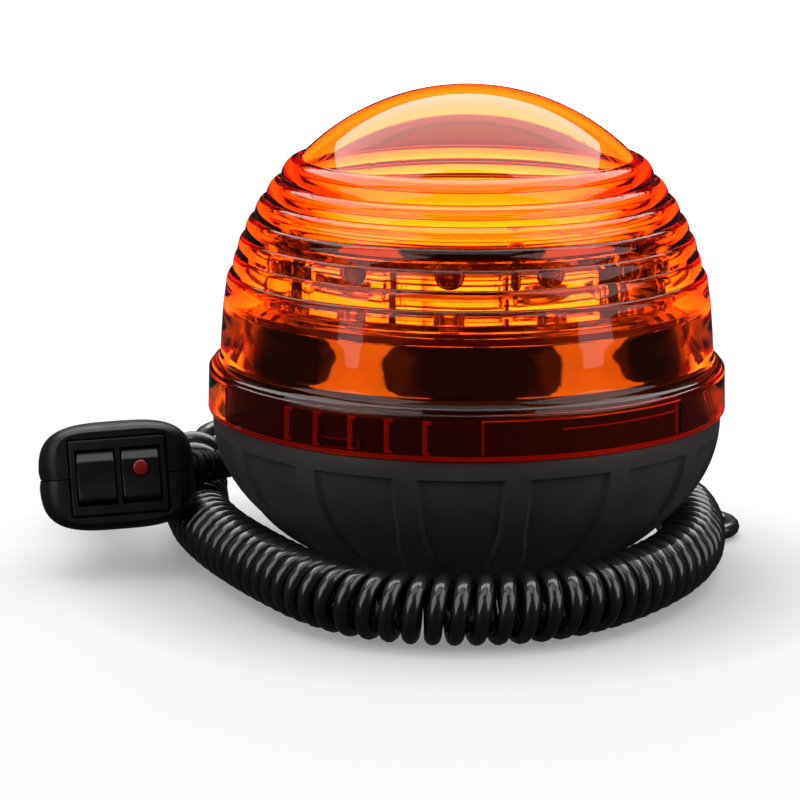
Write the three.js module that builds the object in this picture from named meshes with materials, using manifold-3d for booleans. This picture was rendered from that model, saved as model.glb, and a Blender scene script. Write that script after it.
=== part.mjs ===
// Amber LED beacon on a magnetic foot, with a curly lead and a lighter plug that
// carries two rocker switches. Millimetres, +Z up. The origin is the centre of the
// foot's underside and the beacon's axis is Z. The plug and lead lie on z = 0.

import * as THREE from 'three';
import { mergeVertices } from 'three/addons/utils/BufferGeometryUtils.js';
import Module from 'manifold-3d';

const wasm = await Module();
wasm.setup();

// ---------- driving dimensions ----------

const GAP = 0.3;                    // clearance between pieces that touch
const SEGMENTS = 36;                // facets round the beacon
const SMALL_SEGMENTS = 10;          // facets round screws, posts and components
const MERGE_DISTANCE = 1e-4;

// Lens: a spherical cap, six rounded beads between seven notches, a plain skirt
// and the twist-lock band.
const CAP_RADIUS = 67;
const CAP_CENTRE_Z = 75.5;
const LENS_WALL = 2.8;
const NOTCHES = [
  [47.9, 122.3], [53.6, 116.0], [57.8, 110.7], [61.2, 105.3], [64.0, 100.0], [66.2, 94.8], [67.6, 89.6],
];
const SHOULDER = { run: 1.9, drop: 3.6 };
const SKIRT = [[70.4, 79.5], [71.0, 72.0]];
const SKIRT_FOOT = { radius: 71.3, z: 67.0, filletRun: 3.7, filletDrop: 4.1 };
const BAND = { topRadius: 74.7, bottomRadius: 75.0, inner: 71.9, top: 62.4, bottom: 49.6, edge: 0.5 };
const LENS_LUG = { inner: 70.3, bottom: 51.0, height: 2.5, halfAngle: 6 };
const BASE_LUG = { outer: 71.3, bottom: 54.2, height: 2.6, halfAngle: 8 };
const LUG_COUNT = 3;

// Base bowl: half an ellipsoid below the band, with a collar inside the band.
const BOWL = { radius: 73.7, drop: 48.5, centreZ: 47.0, floorZ: 5.0, wall: 2.7, rimZ: 49.2 };
const COLLAR = { outer: 69.5, inner: 67.0, top: 61.2 };
const LEDGE = { inner: 58.0, top: 57.6, thickness: 5.0, slope: 8.5 };
const FLOOR_TOP = 7.8;
const FOOT_HOLE_RADIUS = 32.6;
const BOARD_POST = { ring: 41, radius: 3, bottom: 8.2, top: 29.6 };
const SEAL = { ring: 68.3, section: 1.2 };

// Magnet foot.
const FOOT = { radius: 36.6, pad: 1.05, top: 4.7, edge: 0.5 };
const CUP = { outer: 32.2, wall: 2.5, pole: 8.0, bottom: 1.4, roof: 8.1, flange: 36.4, roofThickness: 1.7 };
const MAGNET_CLEARANCE = 0.4;

// Boards and optics.
const DRIVER = { radius: 46, bottom: 29.9, thickness: 1.6 };
const DECK = { radius: 66.4, bottom: 57.9, thickness: 2.0, wireHole: 7.0 };
const DRUM = { outer: 65.8, inner: 64.6, bottom: 60.2, top: 79.0, roof: 2.0, hole: 12 };
const LED_BOARD = { outer: 60, inner: 14, bottom: 79.3, thickness: 1.6 };
const LED = { count: 12, ring: 51, side: 5.0, height: 1.4, turn: -5 };
const OPTIC = { inner: 44, outer: 58.5, bottom: 83.0, top: 101.0, chamfer: 3.0 };
const OPTIC_RIM = { inner: 60.4, outer: 66.2, bottom: 79.3, top: 81.6, web: 84.6 };
const OPTIC_CAP = { radius: 56.2, thickness: 4.2 };
const SCREW = { shaft: 1.1, head: 2.4, headHeight: 1.6, hole: 1.45 };
const FOOT_SCREW = { shaft: 0.9, head: 1.7, headHeight: 1.4, hole: 1.2, ring: 34.4, tip: 5.6 };
const DECK_SCREW = { ring: 61.5, tip: 54.0, holeBottom: 53.5 };
const OPTIC_SCREW = { ring: 51, tip: 94.0, holeBottom: 93.5 };
const SCREW_COUNT = 3;

// Cable gland in the bowl's wall.
const GLAND = { azimuth: 125, z: 26, hole: 5.1, neck: 4.7, wallIn: 56.5, wallOut: 70.6, tip: 88.0 };
const GLAND_FLANGE = { inner: 6.2, innerLength: 2.5, outer: 6.4, outerLength: 2.6 };

// Cord. The curly stretch is made here as the tube that its turns fill.
const WIRE_RADIUS = 2.4;
const COIL_RADIUS = 10.0;
const LEAD_ROUTE = [
  [-50.7, 72.4, 26.0], [-54.2, 77.3, 26.0], [-60.0, 82.4, 25.8], [-67.4, 84.8, 25.2],
  [-74.8, 83.4, 24.5], [-80.4, 78.4, 23.9], [-83.4, 71.6, 23.3], [-84.0, 65.0, 22.6],
];
const COIL_ROUTE = [
  [-84.0, 64.0, 22.4], [-83.8, 52.0, 18.6], [-83.0, 41.0, 14.2], [-81.6, 30.0, 11.0],
  [-79.4, 18.0, 10.1], [-75.6, 5.0, 10.1], [-69.8, -10.0, 10.1], [-61.4, -27.5, 10.1],
  [-52.0, -44.5, 10.1], [-42.0, -60.0, 10.1], [-30.6, -71.5, 10.1], [-16.5, -78.0, 10.1],
  [-1.0, -79.6, 10.1], [14.5, -77.6, 10.1], [28.2, -71.2, 10.1], [40.2, -60.4, 10.1],
  [50.8, -46.0, 10.1], [59.0, -30.6, 10.1], [64.4, -14.0, 10.1], [66.6, 3.0, 10.1],
  [66.8, 19.0, 10.1], [65.2, 34.0, 10.1],
];
const TAIL_ROUTE = [
  [74.6, 28.4, 2.6], [79.0, 30.6, 2.6], [81.8, 35.2, 2.6], [82.0, 41.6, 2.6],
  [79.2, 48.6, 2.6], [73.4, 54.8, 2.6], [64.6, 61.6, 2.6], [53.0, 69.0, 2.6],
  [39.0, 75.2, 2.6], [23.0, 79.4, 2.6], [6.0, 81.2, 2.6], [-11.0, 80.4, 2.6],
  [-26.0, 76.6, 3.0], [-38.2, 69.6, 5.4], [-48.0, 60.6, 10.0], [-55.6, 50.6, 15.8],
  [-61.2, 42.0, 20.4], [-65.0, 36.6, 22.9], [-68.2, 32.8, 23.6],
];

// Plug. Its own frame: +Y from the switch panel to the tip, +X right, +Z up.
const PLUG_PLACE = { x: -100.8, y: -10.0, z: 29.7, yaw: 10, pitch: -12, roll: -2.4 };
const HEAD_SECTIONS = [             // y, half width, half height, squareness
  [0.0, 17.9, 13.3, 5.0], [1.2, 20.0, 14.5, 4.2], [4.0, 21.8, 15.4, 3.6], [9.0, 22.7, 15.9, 3.3],
  [16.0, 22.0, 15.6, 3.0], [23.0, 18.9, 14.7, 2.7], [29.0, 15.2, 13.4, 2.4], [34.0, 12.7, 12.3, 2.1],
  [38.0, 12.0, 12.0, 2.0],
];
const HEAD_WALL = 2.2;
const HEAD_CAVITY_START = 2.6;
const HEAD_CAVITY_END = 34.2;
const HEAD_SEGMENTS = 28;
const PLUG_POST = { x: 9.0, y: 25.5, radius: 3.0, hole: 1.25, recess: 2.7, recessTop: -11.0 };
const BEZEL = {
  width: 28.0, height: 22.0, front: -0.6, back: 8.4,
  lipBack: 1.0, lipHalf: 8.2, deepHalf: 9.4,
};
const WINDOW = { inner: 0.7, outer: 12.3 };
const ROCKER = { pivotY: 4.9, radius: 8.9, face: -1.4, width: 10.9, centreX: 6.5, back: 6.4 };
const ROCKER_CHAMFER = { faceZ: 4.6, cornerY: 0.5 };
const PIN_RADIUS = 0.9;
const PIN_HOLE = 1.25;
const INDICATOR = { radius: 2.3, z: 1.9, seat: -0.2, top: -1.9 };
const SWITCH_BODY = { width: 11.0, height: 17.5, front: 9.3, back: 19.8 };
const BARREL = {
  neck: 9.0, neckStart: 31.0, radius: 10.5, start: 38.4,
  end: 76.0, bore: 7.2, backBore: 9.35,
};
const SIDE_SLOT = { start: 50.0, end: 66.0, half: 2.5 };
const SIDE_CONTACT = { start: 50.6, end: 65.4, foot: 9.5, crown: 11.9, thickness: 1.1, half: 2.1 };
const NOSE = {
  start: 76.3, shoulder: 80.0, end: 86.5, outer: 9.8,
  tip: 8.2, hole: 3.7, inner: 6.8, lip: 84.3,
};
const TIP = {
  radius: 3.2, end: 95.0, flange: 6.2, flangeStart: 82.3,
  flangeEnd: 84.0, stem: 1.8, stemStart: 78.6,
};
const SPRING = { radius: 4.3, wire: 0.45, start: 71.6, end: 78.2, turns: 4 };
const FUSE = { radius: 3.0, start: 48.0, end: 70.0 };
const RELIEF = { x: 19.4, y: 20.0, angle: 40, hole: 4.4, neck: 4.1, collar: 5.3, tip: 3.6, length: 26 };
const RELIEF_TEETH = { count: 6, first: 7.0, pitch: 3.0, groove: 0.9, depth: 1.0 };

// ---------- materials ----------

function finish(color, roughness, metalness = 0) {
  return new THREE.MeshStandardMaterial({ color, roughness, metalness });
}
const materials = {
  lens: new THREE.MeshStandardMaterial({ color: 0xf26a12, roughness: 0.08, transparent: true, opacity: 0.6 }),
  clear: new THREE.MeshStandardMaterial({
    color: 0xffe9b0, roughness: 0.05, transparent: true, opacity: 0.6,
  }),
  black: finish(0x1c1c1d, 0.55),
  cord: finish(0x0c0c0d, 0.32),
  rubber: finish(0x141414, 0.8),
  board: finish(0x0d5c33, 0.6),
  led: finish(0xf7e36b, 0.35),
  aluminium: finish(0xc9ccd0, 0.35, 1),
  steel: finish(0x9fa3a8, 0.35, 1),
  brass: finish(0xc9a24a, 0.3, 1),
  magnet: finish(0x3b3b40, 0.5, 0.6),
  red: finish(0x9c1a1c, 0.2),
  glass: finish(0xdfe8e6, 0.05),
  component: finish(0x202833, 0.45),
};

// ---------- geometry helpers ----------

const radians = (degrees) => degrees * Math.PI / 180;

// Points on an ellipse arc in the profile plane, both ends included.
function arc(centre, radii, from, to, steps) {
  const points = [];
  for (let i = 0; i <= steps; i += 1) {
    const a = radians(from + (to - from) * i / steps);
    points.push([centre[0] + radii[0] * Math.cos(a), centre[1] + radii[1] * Math.sin(a)]);
  }
  return points;
}

function signedVolume(position, index) {
  const [a, b, c] = [new THREE.Vector3(), new THREE.Vector3(), new THREE.Vector3()];
  let volume = 0;
  for (let i = 0; i < index.length; i += 3) {
    a.fromBufferAttribute(position, index[i]);
    b.fromBufferAttribute(position, index[i + 1]);
    c.fromBufferAttribute(position, index[i + 2]);
    volume += a.dot(b.cross(c)) / 6;
  }
  return volume;
}

// A closed mesh with shared vertices, no collapsed triangles and outward faces.
function closed(geometry) {
  const bare = geometry.clone();
  bare.deleteAttribute('normal');
  bare.deleteAttribute('uv');
  const merged = mergeVertices(bare, MERGE_DISTANCE);
  const source = merged.index.array;
  const index = [];
  for (let i = 0; i < source.length; i += 3) {
    const [a, b, c] = [source[i], source[i + 1], source[i + 2]];
    if (a !== b && b !== c && c !== a) index.push(a, b, c);
  }
  if (signedVolume(merged.attributes.position, index) < 0) index.reverse();
  merged.setIndex(index);
  return merged;
}

function toSolid(geometry) {
  const mesh = closed(geometry);
  const vertProperties = new Float32Array(mesh.attributes.position.array);
  const triVerts = new Uint32Array(mesh.index.array);
  return new wasm.Manifold(new wasm.Mesh({ numProp: 3, vertProperties, triVerts }));
}

function toGeometry(solid) {
  const mesh = solid.getMesh();
  const geometry = new THREE.BufferGeometry();
  geometry.setAttribute('position', new THREE.Float32BufferAttribute(mesh.vertProperties, 3));
  geometry.setIndex([...mesh.triVerts]);
  return geometry;
}

function cut(geometry, tools) {
  return toGeometry(tools.reduce((solid, tool) => solid.subtract(toSolid(tool)), toSolid(geometry)));
}

function join(geometry, extras) {
  return toGeometry(extras.reduce((solid, extra) => solid.add(toSolid(extra)), toSolid(geometry)));
}
const overlap = (geometry, other) => toGeometry(toSolid(geometry).intersect(toSolid(other)));

// A solid of revolution about Z from [radius, z] points.
function turned(profile, segments = SEGMENTS) {
  const points = profile.map(([r, z]) => new THREE.Vector2(r, z));
  return new THREE.LatheGeometry(points, segments).rotateX(Math.PI / 2);
}

// The same about Y, from [radius, y] points.
function turnedAboutY(profile, segments = 24) {
  return new THREE.LatheGeometry(profile.map(([r, y]) => new THREE.Vector2(r, y)), segments);
}

const ring = (inner, outer, bottom, top, segments) => turned(
  [[inner, bottom], [outer, bottom], [outer, top], [inner, top], [inner, bottom]], segments);

const disc = (radius, bottom, top, segments = SMALL_SEGMENTS) => turned(
  [[0, bottom], [radius, bottom], [radius, top], [0, top]], segments);

function box(low, high) {
  const size = high.map((value, i) => value - low[i]);
  const centre = high.map((value, i) => (value + low[i]) / 2);
  return new THREE.BoxGeometry(...size).translate(...centre);
}

// A rod along X, Y or Z between two coordinates.
function rodX(radius, from, to, y, z, sides = SMALL_SEGMENTS) {
  const rod = new THREE.CylinderGeometry(radius, radius, to - from, sides).rotateZ(Math.PI / 2);
  return rod.translate((from + to) / 2, y, z);
}

function rodZ(radius, from, to, x, y, sides = SMALL_SEGMENTS) {
  return disc(radius, from, to, sides).translate(x, y, 0);
}

// A block with straight ends between two radii and two heights, centred on an azimuth.
function arcBlock(inner, outer, bottom, height, azimuth, halfAngle) {
  const shape = new THREE.Shape();
  shape.absarc(0, 0, outer, radians(azimuth - halfAngle), radians(azimuth + halfAngle), false);
  shape.absarc(0, 0, inner, radians(azimuth + halfAngle), radians(azimuth - halfAngle), true);
  const options = { depth: height, bevelEnabled: false, curveSegments: 2 };
  return new THREE.ExtrudeGeometry(shape, options).translate(0, 0, bottom);
}

function onRing(radius, azimuth) {
  return [radius * Math.cos(radians(azimuth)), radius * Math.sin(radians(azimuth))];
}

function polygon(radius, sides) {
  const points = [];
  for (let i = 0; i < sides; i += 1) {
    const a = radians(360 * i / sides);
    points.push(new THREE.Vector2(radius * Math.cos(a), radius * Math.sin(a)));
  }
  return new THREE.Shape(points);
}

function tube(route, radius, sides, steps) {
  const path = new THREE.CatmullRomCurve3(route.map((point) => new THREE.Vector3(...point)));
  return new THREE.ExtrudeGeometry(polygon(radius, sides), { steps, bevelEnabled: false, extrudePath: path });
}

function screw(dims, tip, seat, x, y) {
  const top = seat + dims.headHeight;
  const profile = [[0, tip], [dims.shaft, tip], [dims.shaft, seat]];
  profile.push([dims.head, seat], [dims.head, top], [0, top]);
  return turned(profile, 8).translate(x, y, 0);
}

// ---------- beacon ----------

function lensProfile() {
  const first = NOTCHES[0];
  const capEdge = Math.acos(first[0] / CAP_RADIUS) * 180 / Math.PI;
  const capZ = first[1] - CAP_RADIUS * Math.sin(radians(capEdge));
  const outer = arc([0, capZ], [CAP_RADIUS, CAP_RADIUS], 90, capEdge, 5);
  for (let i = 0; i + 1 < NOTCHES.length; i += 1) {
    const [r, z] = NOTCHES[i];
    const [nextR, nextZ] = NOTCHES[i + 1];
    outer.push(...arc([r, nextZ], [nextR - r, z - nextZ], 90, 0, 2).slice(1));
  }
  const [lastR, lastZ] = NOTCHES.at(-1);
  const shoulder = arc([lastR, lastZ - SHOULDER.drop], [SHOULDER.run, SHOULDER.drop], 90, 0, 2);
  outer.push(...shoulder.slice(1), ...SKIRT);
  const fillet = [SKIRT_FOOT.filletRun, SKIRT_FOOT.filletDrop];
  outer.push(...arc([SKIRT_FOOT.radius + fillet[0], SKIRT_FOOT.z], fillet, 180, 254, 2));
  outer.push([BAND.topRadius, BAND.top], [BAND.bottomRadius, BAND.bottom + BAND.edge]);
  outer.push([BAND.bottomRadius - BAND.edge, BAND.bottom], [BAND.inner, BAND.bottom]);
  const inner = [[BAND.inner, BAND.top - 2], [SKIRT_FOOT.radius - 0.8, SKIRT_FOOT.z - 3.8]];
  inner.push([SKIRT_FOOT.radius - 2.4, SKIRT_FOOT.z - 1.2], [SKIRT[1][0] - LENS_WALL, SKIRT[1][1]]);
  inner.push([SKIRT[0][0] - LENS_WALL, SKIRT[0][1]]);
  for (let i = NOTCHES.length - 1; i > 0; i -= 2) {
    inner.push([NOTCHES[i][0] - LENS_WALL + 0.2, NOTCHES[i][1] - 0.5]);
  }
  const innerRadius = CAP_RADIUS - LENS_WALL;
  inner.push(...arc([0, capZ], [innerRadius, innerRadius], capEdge + 1, 90, 4));
  return [...outer, ...inner];
}

function lensDome() {
  const lugs = [];
  for (let i = 0; i < LUG_COUNT; i += 1) {
    const { inner, bottom, height, halfAngle } = LENS_LUG;
    lugs.push(arcBlock(inner, BAND.inner + 1, bottom, height, 360 * i / LUG_COUNT, halfAngle));
  }
  return join(turned(lensProfile()), lugs);
}

function baseBowl() {
  const floorAngle = -Math.asin((BOWL.centreZ - BOWL.floorZ) / BOWL.drop) * 180 / Math.PI;
  const innerRadii = [BOWL.radius - BOWL.wall, BOWL.drop - BOWL.wall];
  const innerAngle = -Math.asin((BOWL.centreZ - FLOOR_TOP) / innerRadii[1]) * 180 / Math.PI;
  const profile = [[COLLAR.outer, COLLAR.top], [COLLAR.outer, BOWL.rimZ], [BOWL.radius - 0.3, BOWL.rimZ]];
  profile.push(...arc([0, BOWL.centreZ], [BOWL.radius, BOWL.drop], 0, floorAngle, 8));
  profile.push([FOOT_HOLE_RADIUS, BOWL.floorZ], [FOOT_HOLE_RADIUS, FLOOR_TOP]);
  profile.push(...arc([0, BOWL.centreZ], innerRadii, innerAngle, -8, 5));
  profile.push([LEDGE.inner + LEDGE.slope, BOWL.centreZ], [LEDGE.inner, LEDGE.top - LEDGE.thickness]);
  profile.push([LEDGE.inner, LEDGE.top], [COLLAR.inner, LEDGE.top], [COLLAR.inner, COLLAR.top]);
  profile.push(profile[0]);
  const extras = [];
  const holes = [];
  for (let i = 0; i < LUG_COUNT; i += 1) {
    const azimuth = 360 * i / LUG_COUNT;
    const { outer, bottom, height, halfAngle } = BASE_LUG;
    extras.push(arcBlock(COLLAR.outer - 1, outer, bottom, height, azimuth, halfAngle));
    const [postX, postY] = onRing(BOARD_POST.ring, azimuth + 30);
    extras.push(rodZ(BOARD_POST.radius, BOARD_POST.bottom, BOARD_POST.top, postX, postY));
    const [deckX, deckY] = onRing(DECK_SCREW.ring, azimuth + 60);
    holes.push(rodZ(SCREW.hole, DECK_SCREW.holeBottom, LEDGE.top + 1, deckX, deckY));
    const [footX, footY] = onRing(FOOT_SCREW.ring, azimuth);
    holes.push(rodZ(FOOT_SCREW.hole, BOWL.floorZ - 1, FLOOR_TOP + 1, footX, footY));
  }
  const glandHole = rodX(GLAND.hole, 50, 90, 0, GLAND.z, 20).rotateZ(radians(GLAND.azimuth));
  return cut(join(turned(profile), extras), [...holes, glandHole]);
}

function magnetCup() {
  const roofTop = CUP.roof + CUP.roofThickness;
  const wallInner = CUP.outer - CUP.wall;
  const profile = [[0, CUP.bottom], [CUP.pole, CUP.bottom], [CUP.pole, CUP.roof], [wallInner, CUP.roof]];
  profile.push([wallInner, CUP.bottom], [CUP.outer, CUP.bottom], [CUP.outer, CUP.roof]);
  profile.push([CUP.flange, CUP.roof], [CUP.flange, roofTop], [0, roofTop]);
  const holes = [];
  for (let i = 0; i < SCREW_COUNT; i += 1) {
    const [x, y] = onRing(FOOT_SCREW.ring, 360 * i / SCREW_COUNT);
    holes.push(rodZ(FOOT_SCREW.hole, CUP.roof - 1, roofTop + 1, x, y));
  }
  return cut(turned(profile), holes);
}

function rubberFoot() {
  const inner = CUP.outer + 0.5;
  const profile = [[0, 0], [FOOT.radius - FOOT.edge, 0], [FOOT.radius, FOOT.edge], [FOOT.radius, FOOT.top]];
  profile.push([inner, FOOT.top], [inner, FOOT.pad], [0, FOOT.pad]);
  return turned(profile);
}

function perforatedDisc(radius, centreHole, ringRadius, offset, bottom, thickness) {
  const tools = centreHole > 0 ? [disc(centreHole, bottom - 1, bottom + thickness + 1, 20)] : [];
  for (let i = 0; i < SCREW_COUNT; i += 1) {
    const [x, y] = onRing(ringRadius, offset + 360 * i / SCREW_COUNT);
    tools.push(rodZ(SCREW.hole, bottom - 1, bottom + thickness + 1, x, y));
  }
  return cut(disc(radius, bottom, bottom + thickness, SEGMENTS), tools);
}

function opticRing() {
  const { inner, outer, bottom, top, chamfer } = OPTIC;
  const rim = OPTIC_RIM;
  const profile = [[inner + 1, bottom], [rim.inner - 4, bottom], [rim.inner, rim.bottom + 2]];
  profile.push([rim.inner, rim.bottom], [rim.outer, rim.bottom], [rim.outer, rim.top]);
  profile.push([outer, rim.web], [outer, top - chamfer - 1]);
  profile.push([outer - 3.5, top], [inner + chamfer, top], [inner, top - chamfer], [inner, bottom + chamfer]);
  profile.push(profile[0]);
  const bores = [];
  for (let i = 0; i < SCREW_COUNT; i += 1) {
    const [x, y] = onRing(OPTIC_SCREW.ring, 45 + 360 * i / SCREW_COUNT);
    bores.push(rodZ(SCREW.hole, OPTIC_SCREW.holeBottom, top + 1, x, y));
  }
  return cut(turned(profile), bores);
}

function ledDrum() {
  const profile = [[DRUM.inner, DRUM.bottom], [DRUM.outer, DRUM.bottom], [DRUM.outer, DRUM.top]];
  profile.push([DRUM.hole, DRUM.top], [DRUM.hole, DRUM.top - DRUM.roof], [DRUM.inner, DRUM.top - DRUM.roof]);
  profile.push(profile[0]);
  return turned(profile);
}

function cableGland() {
  const { neck, wallIn, wallOut, tip } = GLAND;
  const innerEnd = wallIn - GLAND_FLANGE.innerLength;
  const outerEnd = wallOut + GLAND_FLANGE.outerLength;
  const profile = [[0, innerEnd], [GLAND_FLANGE.inner, innerEnd]];
  profile.push([GLAND_FLANGE.inner, wallIn], [neck, wallIn]);
  profile.push([neck, wallOut], [GLAND_FLANGE.outer, wallOut], [GLAND_FLANGE.outer, outerEnd]);
  profile.push([neck, outerEnd + 0.6], [WIRE_RADIUS + 0.9, tip], [0, tip]);
  const along = turnedAboutY(profile, 20).rotateZ(-Math.PI / 2);
  return along.rotateZ(radians(GLAND.azimuth)).translate(0, 0, GLAND.z);
}

// ---------- plug, in its own frame ----------

// A closed body through superellipse sections across Y, shrunk by inset.
function loft(sections, inset) {
  const vertices = [];
  const index = [];
  for (const [y, halfWidth, halfHeight, power] of sections) {
    for (let i = 0; i < HEAD_SEGMENTS; i += 1) {
      const a = radians(360 * i / HEAD_SEGMENTS);
      const [c, s] = [Math.cos(a), Math.sin(a)];
      const x = (halfWidth - inset) * Math.sign(c) * Math.abs(c) ** (2 / power);
      const z = (halfHeight - inset) * Math.sign(s) * Math.abs(s) ** (2 / power);
      vertices.push(x, y, z);
    }
  }
  const ringStart = (k) => k * HEAD_SEGMENTS;
  for (let k = 0; k + 1 < sections.length; k += 1) {
    for (let i = 0; i < HEAD_SEGMENTS; i += 1) {
      const next = (i + 1) % HEAD_SEGMENTS;
      const [a, b] = [ringStart(k) + i, ringStart(k) + next];
      const [c, d] = [ringStart(k + 1) + i, ringStart(k + 1) + next];
      index.push(a, b, c, b, d, c);
    }
  }
  const last = ringStart(sections.length - 1);
  for (let i = 1; i + 1 < HEAD_SEGMENTS; i += 1) {
    index.push(0, i + 1, i, last, last + i, last + i + 1);
  }
  const geometry = new THREE.BufferGeometry();
  geometry.setAttribute('position', new THREE.Float32BufferAttribute(vertices, 3));
  geometry.setIndex(index);
  return geometry;
}

function sectionAt(y) {
  const after = HEAD_SECTIONS.findIndex((section) => section[0] >= y);
  const [from, to] = [HEAD_SECTIONS[after - 1], HEAD_SECTIONS[after]];
  const t = (y - from[0]) / (to[0] - from[0]);
  return from.map((value, i) => (i === 0 ? y : value + (to[i] - value) * t));
}

function reliefDirection() {
  return new THREE.Vector3(Math.cos(radians(RELIEF.angle)), Math.sin(radians(RELIEF.angle)), 0);
}


function alongRelief(geometry) {
  const turn = new THREE.Quaternion().setFromUnitVectors(new THREE.Vector3(0, 1, 0), reliefDirection());
  return geometry.applyQuaternion(turn).translate(RELIEF.x, RELIEF.y, 0);
}

function headShell() {
  const middle = HEAD_SECTIONS.filter(([y]) => y > HEAD_CAVITY_START && y < HEAD_CAVITY_END);
  const cavity = loft([sectionAt(HEAD_CAVITY_START), ...middle, sectionAt(HEAD_CAVITY_END)], HEAD_WALL);
  const outer = loft(HEAD_SECTIONS, 0);
  const half = { x: BEZEL.width / 2 + GAP, z: BEZEL.height / 2 + GAP };
  const window = box([-half.x, -5, -half.z], [half.x, HEAD_CAVITY_START + 1, half.z]);
  const throat = turnedAboutY([[0, 30], [BARREL.backBore, 30], [BARREL.backBore, 40], [0, 40]], 24);
  const reliefHole = alongRelief(turnedAboutY([[0, -8], [RELIEF.hole, -8], [RELIEF.hole, 12], [0, 12]], 16));
  let shell = toSolid(outer).subtract(toSolid(cavity));
  for (const side of [-1, 1]) {
    const x = side * PLUG_POST.x;
    const post = toSolid(rodZ(PLUG_POST.radius, -14.2, 14.2, x, PLUG_POST.y)).intersect(toSolid(outer));
    shell = shell.add(post);
    shell = shell.subtract(toSolid(rodZ(PLUG_POST.hole, -20, 8, x, PLUG_POST.y, 10)));
    shell = shell.subtract(toSolid(rodZ(PLUG_POST.recess, -20, PLUG_POST.recessTop, x, PLUG_POST.y)));
  }
  const tools = [window, throat, reliefHole];
  return toGeometry(tools.reduce((solid, tool) => solid.subtract(toSolid(tool)), shell));
}

function switchBezel() {
  const { width, height, front, back, lipBack, lipHalf, deepHalf } = BEZEL;
  const frame = box([-width / 2, front, -height / 2], [width / 2, back, height / 2]);
  const tools = [rodX(PIN_HOLE, -width, width, ROCKER.pivotY, 0, 10)];
  for (const side of [-1, 1]) {
    const [low, high] = side < 0 ? [-WINDOW.outer, -WINDOW.inner] : [WINDOW.inner, WINDOW.outer];
    tools.push(box([low, front - 1, -lipHalf], [high, back + 1, lipHalf]));
    tools.push(box([low, lipBack, -deepHalf], [high, back + 1, deepHalf]));
  }
  return cut(frame, tools);
}

// Side outline of a rocker about its pivot: a flat face, a chamfer above it and
// round ends that clear the bezel at every angle.
function rocker(hasWindow) {
  const { pivotY, radius, face, width, centreX, back } = ROCKER;
  const endAt = (y) => Math.sqrt(radius ** 2 - (y - pivotY) ** 2);
  const { faceZ, cornerY } = ROCKER_CHAMFER;
  const outline = [[face, -endAt(face)], [face, faceZ], [cornerY, endAt(cornerY)]];
  for (const y of [2.5, 4.9, back]) outline.push([y, endAt(y)]);
  for (const y of [back, 4.9, 2.5, 0.5]) outline.push([y, -endAt(y)]);
  const shape = new THREE.Shape(outline.map(([y, z]) => new THREE.Vector2(y, z)));
  const solid = new THREE.ExtrudeGeometry(shape, { depth: width, bevelEnabled: false });
  solid.translate(0, 0, -width / 2).applyMatrix4(new THREE.Matrix4().makeBasis(
    new THREE.Vector3(0, 1, 0), new THREE.Vector3(0, 0, 1), new THREE.Vector3(1, 0, 0)));
  const tools = [rodX(PIN_HOLE, -width, width, pivotY, 0, 10)];
  if (hasWindow) {
    const hole = INDICATOR.radius + GAP;
    const seat = INDICATOR.seat + GAP;
    const socket = turnedAboutY([[0, face - 2], [hole, face - 2], [hole, seat], [0, seat]], 16);
    tools.push(socket.translate(0, 0, INDICATOR.z));
  }
  return cut(solid, tools).translate(hasWindow ? centreX : -centreX, 0, 0);
}

function indicatorWindow() {
  const { radius, z, seat, top } = INDICATOR;
  const profile = [[0, seat], [radius, seat], [radius, top + 0.7], [radius * 0.7, top + 0.2], [0, top]];
  return turnedAboutY(profile, 16).translate(ROCKER.centreX, 0, z);
}

function barrel() {
  const { neck, neckStart, radius, start, end, bore } = BARREL;
  const profile = [[bore, neckStart], [neck, neckStart], [neck, start], [radius, start + 0.6]];
  profile.push([radius, end], [bore, end], [bore, neckStart]);
  const slot = box([-20, SIDE_SLOT.start, -SIDE_SLOT.half], [20, SIDE_SLOT.end, SIDE_SLOT.half]);
  return cut(turnedAboutY(profile, 24), [slot]);
}

function sideContact(side) {
  const { start, end, foot, crown, thickness, half } = SIDE_CONTACT;
  const middle = (start + end) / 2;
  const bow = new THREE.QuadraticBezierCurve(
    new THREE.Vector2(foot, start),
    new THREE.Vector2(2 * crown - foot, middle),
    new THREE.Vector2(foot, end),
  );
  const outer = bow.getPoints(8);
  const inner = outer.map((point) => new THREE.Vector2(point.x - thickness, point.y)).reverse();
  const outline = new THREE.Shape([...outer, ...inner]);
  const strip = new THREE.ExtrudeGeometry(outline, { depth: 2 * half, bevelEnabled: false });
  strip.translate(0, 0, -half);
  return side > 0 ? strip : strip.rotateY(Math.PI);
}

function noseRing() {
  const { start, shoulder, end, outer, tip, hole, inner, lip } = NOSE;
  const profile = [[inner, start], [outer, start], [outer, shoulder], [tip, end], [hole, end], [hole, lip]];
  profile.push([inner, lip], [inner, start]);
  return turnedAboutY(profile, 24);
}

function tipContact() {
  const { radius, end, flange, flangeStart, flangeEnd, stem, stemStart } = TIP;
  const profile = [[0, stemStart], [stem, stemStart], [stem, flangeStart]];
  profile.push([flange, flangeStart], [flange, flangeEnd]);
  profile.push([radius, flangeEnd], ...arc([0, end - radius], [radius, radius], 0, 90, 4));
  return turnedAboutY(profile, 14);
}

function tipSpring() {
  const route = [];
  const steps = SPRING.turns * 8;
  for (let i = 0; i <= steps; i += 1) {
    const a = radians(360 * SPRING.turns * i / steps);
    const y = SPRING.start + (SPRING.end - SPRING.start) * i / steps;
    route.push([SPRING.radius * Math.cos(a), y, SPRING.radius * Math.sin(a)]);
  }
  return tube(route, SPRING.wire, 5, steps);
}

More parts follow.
